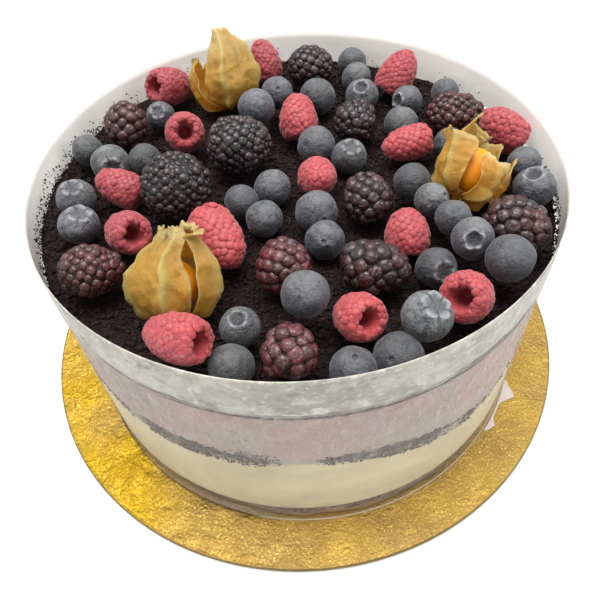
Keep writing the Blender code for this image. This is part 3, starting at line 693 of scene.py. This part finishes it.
def surfaces_of(node):
    """Two functions that give a packed layer's lowest and highest surface at x and y.

    Past its side they give what lies just inside it.
    """
    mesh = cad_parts[node].data
    tree = BVHTree.FromPolygons([v.co for v in mesh.vertices], [p.vertices for p in mesh.polygons])
    low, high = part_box(node)
    inside = (high.x - low.x) / 2 * 0.985

    def inner(x, y):
        reach = math.hypot(x - AXIS.x, y - AXIS.y)
        share = min(1.0, inside / reach) if reach else 1.0
        return AXIS.x + (x - AXIS.x) * share, AXIS.y + (y - AXIS.y) * share

    def floor(x, y):
        return tree.ray_cast(Vector((*inner(x, y), 0)), Vector((0, 0, 1)))[0].z

    def top(x, y):
        return tree.ray_cast(Vector((*inner(x, y), 1)), Vector((0, 0, -1)))[0].z

    return floor, top


def smooth_line(points, steps):
    """Points along a smooth curve through the given ones."""
    ends = [2 * points[0] - points[1], *points, 2 * points[-1] - points[-2]]
    line = []
    for before, start, end, after in zip(ends, ends[1:], ends[2:], ends[3:]):
        for step in range(steps):
            t = step / steps
            square = 2 * before - 5 * start + 4 * end - after
            cube = 3 * start - before - 3 * end + after
            line.append(0.5 * (2 * start + (end - before) * t + square * t * t + cube * t**3))
    return line + [points[-1]]


class Gathered:
    """Shapes and their copies joined into one mesh, from arrays."""

    def __init__(self):
        self.verts, self.marks, self.faces, self.count = [], [], [], 0

    def add(self, shape, place, tone=None, frost=1.0):
        """Add a shape at a place, in one tone if that is given, with what is pale in it made weaker."""
        verts, faces, marks = shape
        place = np.array(place)
        self.verts.append(verts @ place[:3, :3].T + place[:3, 3])
        self.marks.append(marks * (1, frost, 1, 1))
        if tone is not None:
            self.marks[-1][:, 0] = tone
        self.faces.extend([[corner + self.count for corner in face] for face in faces])
        self.count += len(verts)

    def piece(self, name, finish, slot, *nodes):
        mesh = bpy.data.meshes.new(name)
        mesh.from_pydata(np.concatenate(self.verts).tolist(), [], self.faces)
        marks = mesh.attributes.new("marks", "FLOAT_COLOR", "POINT")
        marks.data.foreach_set("color", np.concatenate(self.marks).ravel())
        return new_piece(name, mesh, finish, slot, *nodes)


def as_arrays(bm):
    """A shape's corners, faces and marks, with its bmesh freed."""
    layer = marks_layer(bm)
    bm.verts.index_update()
    shape = (
        np.array([vert.co for vert in bm.verts]),
        [[vert.index for vert in face.verts] for face in bm.faces],
        np.array([vert[layer] for vert in bm.verts]),
    )
    bm.free()
    return shape


def placed(center, out, size, spin=0.0):
    """The matrix that sets a small shape down with its +Z facing out."""
    turn = facing(out).to_4x4() @ Matrix.Rotation(spin, 4, "Z")
    return Matrix.Translation(center) @ turn @ Matrix.Diagonal((*size, 1))


# The board, the collar and the layers.


def make_board():
    """The foil board: flat below, with crinkles pressed into the ring that shows round the cake."""
    lip = 0.8 * MM
    edge = [(BOARD_RADIUS - lip, 0), (BOARD_RADIUS, BOARD_TOP * 0.45),
            (BOARD_RADIUS - 0.15 * MM, BOARD_TOP * 0.8), (BOARD_RADIUS - lip / 2, BOARD_TOP)]
    ring = [(BOARD_RADIUS - 1.2 * MM - 0.45 * MM * row, BOARD_TOP) for row in range(70)]
    bm = turned([(0, 0), *edge, *ring, (COLLAR_RADIUS * 0.6, BOARD_TOP), (0, BOARD_TOP)], 420)
    for vert in bm.verts:
        reach = math.hypot(vert.co.x, vert.co.y)
        shows = COLLAR_RADIUS * 0.7 <= reach <= BOARD_RADIUS - 0.9 * MM
        if vert.co.z < BOARD_TOP - 0.01 * MM or not shows:
            continue
        past = turn_of(vert.co.x, vert.co.y) - CRINKLED_TURN
        heavy = smooth_step(70, 25, abs((past + 180) % 360 - 180))
        fold = noise.noise(vert.co / (5 * MM), noise_basis="VORONOI_F2F1")
        crease = 1 - smooth_step(0.0, 0.25, fold)
        buckle = uneven(vert.co, 9) - crease * 0.8
        vert.co.z += ((0.02 + 0.62 * heavy) * buckle + 0.12 * uneven(vert.co, 2.2)) * MM
    new_piece("foil_board", bm, foil_finish(), "gold_foil", "cake_board")


def make_film():
    """The clear collar, a thin upright tube."""
    rows = 40
    heights = [COLLAR_LOW.z + (COLLAR_HIGH.z - COLLAR_LOW.z) * row / rows for row in range(rows + 1)]
    outside = [(COLLAR_RADIUS, height) for height in heights]
    inside = [(COLLAR_RADIUS - COLLAR_WALL, height) for height in reversed(heights)]
    bm = turned(outside + inside, ROUND_STEPS, closed=True)
    bmesh.ops.translate(bm, verts=bm.verts, vec=(AXIS.x, AXIS.y, 0))
    new_piece("film_collar", bm, film_finish(), "clear_film", "collar")


def make_layer(name, node, rows, relief, relief_size, finish, slot):
    """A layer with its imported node's own surfaces, finer, and a side with a little relief, in mm."""
    floor, top = surfaces_of(node)
    low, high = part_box(node)
    radius = (high.x - low.x) / 2
    side = [(radius, row / rows) for row in range(rows + 1)]
    bm = turned([(0, 0), (radius * 0.6, 0), *side, (radius * 0.6, 1), (0, 1)], ROUND_STEPS)
    layer = marks_layer(bm)
    for vert in bm.verts:
        share, reach = vert.co.z, math.hypot(vert.co.x, vert.co.y)
        x, y = AXIS.x + vert.co.x, AXIS.y + vert.co.y
        past = turn_of(vert.co.x, vert.co.y) - FOOT_REFLECTION_TURN
        # On the biscuit the second mark is where the painted reflection of the gold board lies on its foot.
        gap = smooth_step(28, 16, abs(past)) if node == "biscuit_base" else seam_gap(x, y)
        vert[layer] = (share, gap, smooth_step(18, 26, abs(past)) * (past < 0), 1)
        bottom = floor(x, y)
        z = bottom + (top(x, y) - bottom) * share
        draw_in = 1.0
        if reach > radius * 0.9:
            drawn = relief * MM * (0.5 + 0.5 * uneven(Vector((x, y, z)), relief_size))
            draw_in = 1 - drawn / radius
            if node == "vanilla_layer":
                draw_in = min(draw_in, foot_share(z))
            if node == "biscuit_base":
                draw_in += crumbled_foot(x, y) / radius
        vert.co = (AXIS.x + vert.co.x * draw_in, AXIS.y + vert.co.y * draw_in, z)
    new_piece(name, bm, finish, slot, node)


def make_layers():
    """The four layers, with the rows up each one's side and the depth and size of its relief in mm."""
    for name, node, rows, relief, relief_size, finish, slot in (
        ("biscuit_foot", "biscuit_base", 4, 0.5, 2, biscuit_finish, "biscuit"),
        ("vanilla_cream", "vanilla_layer", 24, 0.15, 9, vanilla_finish, "vanilla_ice_cream"),
        ("seam_of_crumbs", "crumb_seam", 6, 0.3, 2, seam_finish, "crumb_seam"),
        ("berry_cream", "berry_layer", 24, 0.25, 5, berry_cream_finish, "berry_ice_cream"),
    ):
        make_layer(name, node, rows, relief, relief_size, finish(), slot)


def foot_share(z):
    """How far the vanilla layer is drawn in at its foot, as a share of its radius."""
    return 1 - 0.024 * smooth_step(FOOT_TOP + 7 * MM, FOOT_TOP, z)


def seam_gap(x, y):
    """How far cream has closed over the dark seam: wholly at its gap in front, half at the cake's sides."""
    turn = turn_of(x - AXIS.x, y - AXIS.y)
    ragged = turn + 3 * noise.noise(Vector((turn / 2, 3, 0)))
    at_sides = 0.5 * smooth_step(28, 42, abs(turn - FRONT_TURN))
    return max(smooth_step(8, 2.5, abs(ragged - GAP_TURN)), at_sides)


def crumbled_foot(x, y):
    """How far the biscuit's crumbs have spread out to the film: all but at the front left."""
    spot, turn = Vector((x, y, 0)), turn_of(x - AXIS.x, y - AXIS.y)
    loose = smooth_step(10, 32, abs(turn - DRAWN_FOOT_TURN)) * 0.6 + 0.4 * uneven(spot, 9)
    return 2.2 * MM * clamp(loose + 0.2 * uneven(spot, 2))


def make_bed():
    """The crumb bed on its packed surface, rough all over, and its loose crumbs."""
    floor, top = surfaces_of("crumb_top")
    low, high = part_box("crumb_top")
    radius, rings = (high.x - low.x) / 2, 96
    inwards = [(radius * (1 - ring / rings), 1) for ring in range(rings)]
    bm = turned([(0, 0), (radius, 0), *inwards, (0, 1)], ROUND_STEPS)
    for vert in bm.verts:
        x, y = AXIS.x + vert.co.x, AXIS.y + vert.co.y
        if vert.co.z > 0.5:
            spot = Vector((x, y, 0))
            grit = 0.45 * (uneven(spot, 1.6) + uneven(spot, 3.5))
            vert.co.z = top(x, y) + (grit - 0.2) * MM
        else:
            vert.co.z = floor(x, y)
        vert.co.x, vert.co.y = x, y
    finish = crumb_finish("dark crumb bed", (0.002, 0.0015, 0.0015), (0.028, 0.016, 0.014), 1.3)
    new_piece("crumb_bed", bm, finish, "dark_crumbs", "crumb_top")
    return top, radius


def crumb_shape(maker, draw, **size):
    bm = bmesh.new()
    marks_layer(bm)
    maker(bm, **size)
    for vert in bm.verts:
        vert.co *= draw.uniform(0.65, 1.15)
    return as_arrays(bm)


def covered(tree, x, y, ground):
    """Whether fruit hides this spot of the crumbs from above, and lies close over it."""
    hit = tree.ray_cast(Vector((x, y, 1)), Vector((0, 0, -1)))[0]
    if hit is None:
        return False
    under = tree.ray_cast(Vector((x, y, ground)), Vector((0, 0, 1)))[0]
    return under is None or under.z - ground < 5 * MM


def toppings_tree():
    """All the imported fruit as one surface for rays."""
    verts, faces = [], []
    for node, obj in sorted(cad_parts.items()):
        if node.startswith(("blue", "rasp", "bramble", "husk")):
            start = len(verts)
            verts.extend(vert.co for vert in obj.data.vertices)
            faces.extend([corner + start for corner in face.vertices] for face in obj.data.polygons)
    return BVHTree.FromPolygons(verts, faces)


def scatter_crumbs(top, radius):
    """Loose crumbs on the bed, coarse and fine, and those that cling to the film above it."""
    draw = random.Random(SEED)
    tree = toppings_tree()
    finish = crumb_finish("loose dark crumbs", (0.003, 0.002, 0.002), (0.054, 0.031, 0.028), 1.5)
    coarse = [crumb_shape(bmesh.ops.create_icosphere, draw, subdivisions=1, radius=1) for _ in range(6)]
    fine = [crumb_shape(bmesh.ops.create_cube, draw, size=1.5) for _ in range(6)]
    for name, shapes, count, smallest, largest in (
        ("coarse_crumbs", coarse, COARSE_CRUMBS, 0.5 * MM, 1.3 * MM),
        ("fine_crumbs", fine, FINE_CRUMBS, 0.22 * MM, 0.5 * MM),
    ):
        crumbs, laid = Gathered(), 0
        while laid < count:
            reach, turn = math.sqrt(draw.random()) * (radius - 1.2 * MM), draw.uniform(0, 2 * math.pi)
            x, y = AXIS.x + reach * math.cos(turn), AXIS.y + reach * math.sin(turn)
            ground = top(x, y)
            size = smallest + (largest - smallest) * draw.random() ** 1.4
            if covered(tree, x, y, ground):
                continue
            crumbs.add(draw.choice(shapes), crumb_place(Vector((x, y, ground + size * 0.2)), size, draw))
            laid += 1
        crumbs.piece(name, finish, "dark_crumbs")
    cling_crumbs(top, fine, finish, draw)


def cling_crumbs(top, shapes, finish, draw):
    """Crumbs that cling to the film above the bed, all round but in front: most right, fewest behind."""
    stuck = Gathered()
    while stuck.count < CLINGING_CRUMBS * CUBE_CORNERS:
        turn = draw.uniform(-35, 215)
        bare = 0.95 if 0 < turn < 135 else 0.4 * (turn > 0)
        if draw.random() < bare:
            continue
        climb = draw.random() ** 3.2 * (7.5 + 3 * noise.noise(Vector((turn / 12, 0, 0)))) * MM
        size = draw.uniform(0.2, 0.5) * MM
        spot = AXIS + direction(turn, 0) * (COLLAR_RADIUS - COLLAR_WALL - size)
        ground = top(spot.x, spot.y)
        stuck.add(draw.choice(shapes), crumb_place(Vector((spot.x, spot.y, ground + climb)), size, draw))
    stuck.piece("clinging_crumbs", finish, "dark_crumbs")


def crumb_place(center, size, draw):
    out = jitter(draw)
    shape = (size * draw.uniform(0.7, 1.2), size, size * draw.uniform(0.5, 0.9))
    return placed(center, out, shape)


def make_seam_crumbs():
    """Crumbs in the face of the dark seam, pressed against the film, some of them spilled past its edges."""
    draw = random.Random(SEED + 1)
    floor, top = surfaces_of("crumb_seam")
    finish = crumb_finish("seam crumb grains", (0.005, 0.0035, 0.0035), (0.10, 0.076, 0.072), 1.4)
    shapes = [crumb_shape(bmesh.ops.create_cube, draw, size=1.4) for _ in range(5)]
    grains = Gathered()
    while grains.count < SEAM_GRAINS * CUBE_CORNERS:
        turn = draw.uniform(-180, 180)
        size = draw.uniform(0.25, 0.8) * MM
        spot = AXIS + direction(turn, 0) * (LAYER_RADIUS - size * 0.5)
        low, high = floor(spot.x, spot.y), top(spot.x, spot.y)
        bare = noise.noise(Vector((turn / 7, 0, 0))) + noise.noise(Vector((turn / 1.7, 7, 0)))
        bare += 1.2 * seam_gap(spot.x, spot.y)
        if draw.random() < 0.3 + 0.9 * bare or draw.uniform(1, 6) * MM > high - low:
            continue
        spill = abs(draw.gauss(0, 0.9 + 0.8 * (SPILLED_FROM < turn < SPILLED_TO))) * MM
        level = draw.choice((high + spill, high - spill, draw.uniform(low, high), low - spill * 0.8))
        if uneven(Vector((spot.x, spot.y, 1.5 * level)), 1.6) > 0.05:
            continue
        grains.add(draw.choice(shapes), crumb_place(Vector((spot.x, spot.y, level)), size, draw))
    grains.piece("seam_grains", finish, "crumb_seam")


# The berries.


def blueberry_shape(radius, crown, dark, draw):
    """A blueberry about its own middle, with its crown at +Z: a lobed rim round a shallow pit, with painted
    shade in the pit and between the lobes.
    """
    reach, rim, pit, swing, cracks = CROWNS[crown]
    level = math.sqrt(1 - reach**2)
    profile = [(0, level - pit), (0.3 * reach, level - pit), (0.6 * reach, level - pit * 0.8),
               (0.82 * reach, level - pit * 0.2), (0.92 * reach, level + rim * 0.8), (reach, level + rim),
               (1.12 * reach, level + rim * 0.2)]
    start, rows = math.asin(1.3 * reach), 16
    for row in range(rows):
        angle = start + (math.pi - start) * row / rows
        profile.append((math.sin(angle), math.cos(angle)))
    bm = turned([*profile, (0, -1)], 40)
    layer = marks_layer(bm)
    phase, shift = draw.uniform(0, 7), random_shift(draw)
    for vert in bm.verts:
        flat, turn = math.hypot(vert.co.x, vert.co.y), math.atan2(vert.co.y, vert.co.x)
        pale = painted_crown_shade = 0.0
        if vert.co.z > 0 and flat < 1.6 * reach:
            across = flat / reach
            on_rim = math.exp(-(((across - 1) / 0.16) ** 2))
            lobe = math.cos(5 * turn + phase)
            ragged = 0.9 * noise.noise(Vector((3 * math.cos(turn), 3 * math.sin(turn), 0)) + shift)
            if crown != "dent":
                pale = clamp(on_rim * (0.7 + 0.3 * lobe + ragged))
            # Painted shade: dark in the pit, and in the cracks between the lobes.
            painted_crown_shade = smooth_step(0.95, 0.55, across) * (0.75 if crown == "ring" else 0.45)
            crack = smooth_step(0.80, 1.0, -lobe) * smooth_step(1.45, 1.15, across)
            crack *= smooth_step(0.1, 0.4, across)
            painted_crown_shade = max(painted_crown_shade, cracks * crack)
            pale *= (1 - cracks * crack) * (1 - 0.4 * cracks)
            vert.co.x *= 1 + swing * on_rim * lobe
            vert.co.y *= 1 + swing * on_rim * lobe
            vert.co.z += 0.5 * rim * (lobe + ragged) * on_rim
        vert[layer] = (dark, pale, painted_crown_shade, 1)
        out = vert.co.normalized()
        lumps = 0.050 * noise.noise(out * 1.5 + shift) + 0.028 * noise.noise(out * 3.5 + shift)
        vert.co *= radius * (0.995 + lumps)
        vert.co.z *= 0.95
    return as_arrays(bm)


def make_blueberries():
    draw = random.Random(SEED + 2)
    finish = blueberry_finish()
    for number, berries in enumerate(BLUEBERRIES, 1):
        node = f"blueberries_{number:02d}"
        balls = balls_of(node, [berry[:2] for berry in berries])
        gathered = Gathered()
        for (middle, radius), (_, _, turn, lean, crown, dark) in zip(balls, berries):
            tone = clamp(dark + draw.uniform(-0.08, 0.08))
            shape = blueberry_shape(radius, crown, tone, draw)
            gathered.add(shape, placed(middle, direction(turn, lean), (1, 1, 1), draw.uniform(0, 6)))
        finer(gathered.piece(f"frozen_{node}", finish, "blueberry", node))


def drupelet_shape(crease, dimple):
    """A drupelet about its own middle, with +Z outwards: frosted on top, with painted shade below its
    crease.
    """
    bm = bmesh.new()
    layer = marks_layer(bm)
    bmesh.ops.create_icosphere(bm, subdivisions=2, radius=1)
    for vert in bm.verts:
        up = vert.co.z
        pale = smooth_step(crease - 0.1, crease + 0.3, up)
        # The third mark is painted shade below the crease.
        vert[layer] = (0, pale, 1 - smooth_step(crease - 0.35, crease + 0.1, up), 1)
        vert.co.z -= dimple * smooth_step(0.8, 1.0, up)
    return as_arrays(bm)


def spiral_spots(profile, pitch):
    """Evenly spread spots on a turned surface, each with the way out of it, in a golden spiral."""
    points = np.array(profile)
    steps = np.diff(points, axis=0)
    areas = (points[1:, 0] + points[:-1, 0]) * np.hypot(*steps.T) * math.pi
    reached = np.r_[0, areas.cumsum()]
    count = round(reached[-1] / pitch**2)
    for index in range(count):
        wanted = (index + 0.5) / count * reached[-1]
        leg = min(int(np.searchsorted(reached, wanted, "right")) - 1, len(areas) - 1)
        radius, height = points[leg] + steps[leg] * (wanted - reached[leg]) / areas[leg]
        turn = index * GOLDEN_TURN
        out = Vector((-steps[leg][1] * math.cos(turn), -steps[leg][1] * math.sin(turn), steps[leg][0]))
        yield Vector((radius * math.cos(turn), radius * math.sin(turn), height)), out.normalized()


def core_shape(profile, low, high):
    """The core that drupelets sit on: painted shade inside its hollow below the given heights, half painted
    shade elsewhere.
    """
    bm = turned(profile, 32)
    layer = marks_layer(bm)
    for vert in bm.verts:
        inside = vert.normal.dot(Vector((vert.co.x, vert.co.y, 0))) < 0 and vert.co.z > low - 2 * MM
        # The third mark is painted shade: deep in the hollow, and half of it where the core shows between
        # drupelets.
        vert[layer] = (0, 0.3, (1 - smooth_step(low, high, vert.co.z)) if inside else 0.5, 1)
    return as_arrays(bm)


def make_raspberries():
    draw = random.Random(SEED + 3)
    finish = raspberry_finish()
    drupelet = drupelet_shape(0.5, 0.0)
    outer = ((0.25, 0.475), (0.33, 0.46), (0.41, 0.36), (0.445, 0.14), (0.40, -0.10), (0.28, -0.32),
             (0.12, -0.44), (0, -0.455))
    inner = ((0, -0.02), (0.09, 0.0), (0.15, 0.12), (0.185, 0.32))
    for number, (turn, lean, hollow, pitch, swell, bright) in enumerate(RASPBERRIES, 1):
        node = f"raspberry_{number:02d}"
        place, size = berry_frame(node, turn, lean)
        width, length = max(size.x, size.y), size.z / 0.94
        scale = np.array((width, length))
        skin = [point * scale for point in smooth_line([np.array(p) for p in outer], 5)]
        lining = [np.array(p) * scale for p in (inner if hollow else ((0, 0.44),))]
        berry = Gathered()
        core = smooth_line([*lining, skin[0]], 4)[:-1] + skin if hollow else lining + skin
        berry.add(core_shape(core, 0.02 * length, 0.42 * length), place, bright)
        pitch *= RASPBERRY_PITCH * MM
        for spot, out in spiral_spots(skin, pitch):
            reach = pitch * draw.uniform(0.72, 0.86)
            spot += jitter(draw) * 0.09 * reach
            shape = (reach, reach * draw.uniform(0.85, 1.0), pitch * swell * draw.uniform(0.34, 0.42))
            tone = clamp(bright + draw.uniform(-0.15, 0.15))
            seat = placed(spot - out * 0.2 * pitch, out, shape, draw.uniform(0, 6))
            berry.add(drupelet, place @ seat, tone, draw.uniform(0.5, 1.0))
        berry.piece(f"frozen_{node}", finish, "raspberry", node)


def make_brambles():
    draw = random.Random(SEED + 4)
    finish = bramble_finish()
    drupelets = [drupelet_shape(0.35, dimple) for dimple in (0.05, 0.2, 0.4)]
    for number, (turn, lean, pitch, ragged, red, frost) in enumerate(BRAMBLES, 1):
        node = f"bramble_{number:02d}"
        place, size = berry_frame(node, turn, lean)
        pitch *= BRAMBLE_PITCH * MM
        stand = 0.36 * pitch
        width, length = max(size.x, size.y) / 2 - stand, size.z / 2 - stand
        angles = [math.pi * step / 24 for step in range(25)]
        skin = [(width * math.sin(a) * (1 - 0.1 * math.cos(a)), length * math.cos(a)) for a in angles]
        berry = Gathered()
        berry.add(core_shape(skin, 0, length), place, 0.0, 0.0)
        for spot, out in spiral_spots(skin, pitch):
            reach = pitch * 0.68 * (1 + draw.uniform(-ragged, ragged * 0.5))
            spot += jitter(draw) * ragged * 0.3 * reach
            shape = (reach * draw.uniform(0.85, 1.1), reach, reach * draw.uniform(0.75, 0.95))
            tone = clamp(draw.gauss(red, 0.05 + 0.3 * red))
            seat = placed(spot - out * 0.12 * pitch, out, shape, draw.uniform(0, 6))
            drupelet = draw.choice(drupelets)
            frosted = frost * (0.15 + 2.4 * draw.random() ** 2.5)
            berry.add(drupelet, place @ seat, tone, frosted)
        berry.piece(f"frozen_{node}", finish, "bramble", node)


def husk_radius(share):
    """The husk's half width along its length, as a share of the widest, from stem 0 to tip 1."""
    return math.sin(math.pi * share**0.66) ** 0.72 if 0 < share < 1 else 0.0


def husk_shape(width, length, look, fruit, draw):
    """A papery lantern of five sepals, joined up to a height, with crinkles and a rib along each.

    The split faces +X and the tip +Z. fruit is the fruit's middle: panels near it get a painted glow.
    """
    bm = bmesh.new()
    layer = marks_layer(bm)
    across, joined_rows, free_rows, foot = 16, 30, 18, 0.004
    shift = random_shift(draw)
    shares, lefts, rights = zip(*look["split"])
    joined, sepals = look["joined"], look["sepals"]
    for index, (end, point, flare, pale) in enumerate(sepals):
        rows = []
        for row in range(joined_rows + free_rows + 1):
            past = max(0.0, (row - joined_rows) / free_rows)
            share = foot + (joined - foot) * min(row / joined_rows, 1.0) + (end - joined) * past
            start = math.radians(np.interp(share, shares, rights))
            sector = (math.radians(360 + np.interp(share, shares, lefts)) - start) / len(sepals)
            spread = sector * (1 + 0.15 * min(1, 3 * past) - (point + 0.15) * past ** (1.8 - 0.8 * point))
            line = []
            for column in range(across + 1):
                side = 2 * column / across - 1
                turn = start + sector * (index + 0.5) + side * spread / 2
                slimmer = husk_radius(share) ** (look["slope"] * smooth_step(0.3, 0.6, share))
                spot, rib = husk_spot(width * slimmer, length, share, turn, side, flare * past**3 * MM)
                ragged = noise.noise(Vector((turn * 5, index, 0)) + shift) * 1.4 * MM * past**4
                spot += Vector((0, look["bent"] * share**2 * MM, -HUSK_MIDDLE * length + ragged))
                vert = bm.verts.new(spot + crumpled(spot, turn, shift) * smooth_step(0, 0.15, share))
                lip = max(-side if index == 0 else 0, side if index == len(sepals) - 1 else 0)
                rim = max(smooth_step(0.80, 1.0, lip), smooth_step(0.85, 1.0, past),
                          smooth_step(0.85, 1.0, abs(side)) * smooth_step(0, 0.3, past))
                # Painted glow: how near the fruit the panel is.
                glow = 1 - smooth_step(9 * MM, 17 * MM, (spot - fruit).length)
                faded = pale * smooth_step(0.3, 0.9, past + share - 0.4)
                vert[layer] = (glow, rib, clamp(max(rim * 0.45, faded)), 1)
                line.append(vert)
            rows.append(line)
        for low, high in zip(rows, rows[1:]):
            for column in range(across):
                bm.faces.new((low[column], low[column + 1], high[column + 1], high[column]))
    bmesh.ops.remove_doubles(bm, verts=bm.verts, dist=0.02 * MM)
    bmesh.ops.recalc_face_normals(bm, faces=bm.faces)
    return as_arrays(bm)


def husk_spot(width, length, share, turn, side, flare):
    """A point of a husk from its stem end, and how much it is on a rib: five corners, with flat panels."""
    corner = math.cos(math.pi / 5) / math.cos(math.pi / 5 * (1 - abs(side)))
    rib = math.exp(-((side / 0.13) ** 2))
    seam = math.exp(-(((1 - abs(side)) / 0.12) ** 2))
    foot_lobe = math.exp(-(((share - 0.05) / 0.06) ** 2)) * (1 - abs(side)) ** 2
    swell = 1 + 0.06 * rib + 0.03 * seam + 0.25 * foot_lobe
    out = width / 2 * husk_radius(share) * (1 - 0.8 * (1 - corner)) * swell + flare
    height = (share - 0.05 * foot_lobe) * length
    return Vector((out * math.cos(turn), out * math.sin(turn), height)), rib * 0.7


def crumpled(spot, turn, shift):
    """How far dry paper stands off its smooth form: broad dents, sharp creases, long folds and wrinkles."""
    dents = uneven(spot, 7, shift)
    creases = (0.3 - abs(uneven(spot, 4, shift))) * 1.4
    along = Vector((spot.x, spot.y, spot.z * 0.2))
    folds = (0.25 - abs(uneven(along, 3, shift))) * 0.9
    wrinkles = uneven(spot, 1.8, shift) * 0.25
    return Vector((math.cos(turn), math.sin(turn), 0.2)) * (dents + creases + folds + wrinkles) * MM


def husk_frame(node, look):
    """A packed husk's own place, with its tip at +Z and its split at +X, and its width and length."""
    axis, side = direction(*look["tip"]), direction(*look["open"])
    side = (side - axis * side.dot(axis)).normalized()
    frame_turn = Matrix((side, axis.cross(side), axis)).transposed()
    points = node_points(node) @ np.array(frame_turn)
    low, high = points.min(axis=0), points.max(axis=0)
    width, length = high[1] - low[1], high[2] - low[2]
    local = Vector((low[0] + width / 2, (low[1] + high[1]) / 2, low[2] + HUSK_MIDDLE * length))
    return Matrix.Translation(frame_turn @ local) @ frame_turn.to_4x4(), width, length


def make_husks():
    """The husks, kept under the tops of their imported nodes, and the fruit in them."""
    draw = random.Random(SEED + 5)
    husk_look, fruit_look = husk_finish(), fruit_finish()
    for number, look in enumerate(HUSKS, 1):
        node, fruit_node = f"husk_{number}", f"husk_fruit_{number}"
        place, width, length = husk_frame(node, look)
        fruit_low, fruit_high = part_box(fruit_node)
        fruit = (fruit_low + fruit_high) / 2
        husk = Gathered()
        husk.add(husk_shape(width, length, look, place.inverted() @ fruit, draw), place)
        heights = husk.verts[0][:, 2]
        heights[:] = np.minimum(heights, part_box(node)[1].z - 0.3 * MM)
        piece = husk.piece(f"papery_{node}", husk_look, "husk", node)
        wall = piece.modifiers.new("paper wall", "SOLIDIFY")
        wall.thickness = 0.25 * MM
        wall.offset = -1
        radius = (fruit_high - fruit_low).length / math.sqrt(3) / 2
        make_fruit(f"golden_{fruit_node}", fruit, radius, fruit_look, fruit_node)


def make_fruit(name, middle, radius, finish, node):
    bm = bmesh.new()
    bmesh.ops.create_uvsphere(bm, u_segments=32, v_segments=20, radius=radius)
    for vert in bm.verts:
        vert.co *= 1 + 0.02 * uneven(vert.co, 6)
    bmesh.ops.translate(bm, verts=bm.verts, vec=middle)
    finer(new_piece(name, bm, finish, "orange_fruit", node))


# The studio.


def make_studio():
    """A near-white floor and sky, a broad and a small light above and two weaker ones at the sides."""
    bm = bmesh.new()
    bmesh.ops.create_grid(bm, x_segments=1, y_segments=1, size=4.0)
    mesh = bpy.data.meshes.new("floor")
    bm.to_mesh(mesh)
    bm.free()
    mesh.materials.append(Finish("pale floor", Base_Color=(0.86, 0.86, 0.86, 1), Roughness=0.9).material)
    floor = bpy.data.objects.new("floor", mesh)
    bpy.context.scene.collection.objects.link(floor)
    for name, place, power, size in (
        ("broad light", (-0.05, 0.14, 1.3), 20.5, 1.2),
        ("small light", (-0.2, 0.0, 1.2), 2, 0.12),
        ("left light", (-1.2, -0.6, 0.7), 1.5, 0.8),
        ("right light", (1.3, -0.2, 0.8), 6, 0.8),
    ):
        lamp = bpy.data.lights.new(name, "AREA")
        lamp.energy = power
        lamp.shape = "DISK"
        lamp.size = size
        light = bpy.data.objects.new(name, lamp)
        light.location = place
        light.rotation_euler = (Vector((0, 0, 0.06)) - light.location).to_track_quat("-Z", "Y").to_euler()
        bpy.context.scene.collection.objects.link(light)
    world = bpy.data.worlds.new("pale studio")
    world.use_nodes = True
    world.node_tree.nodes["Background"].inputs["Color"].default_value = (1.0, 0.99, 0.97, 1)
    world.node_tree.nodes["Background"].inputs["Strength"].default_value = 0.56
    bpy.context.scene.world = world
    bpy.context.scene.view_settings.view_transform = "Standard"


def make_camera():
    lens = bpy.data.cameras.new("camera")
    lens.lens = CAMERA_LENS
    lens.clip_start = 0.01
    camera = bpy.data.objects.new("camera", lens)
    camera.location = CAMERA_PLACE
    camera.rotation_euler = [math.radians(angle) for angle in CAMERA_TURN]
    bpy.context.scene.collection.objects.link(camera)
    bpy.context.scene.camera = camera


make_camera()
make_studio()
make_board()
make_film()
make_layers()
make_seam_crumbs()
scatter_crumbs(*make_bed())
make_blueberries()
make_raspberries()
make_brambles()
make_husks()
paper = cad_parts["paper_corner"].data.materials
paper.clear()
paper.append(paper_finish())
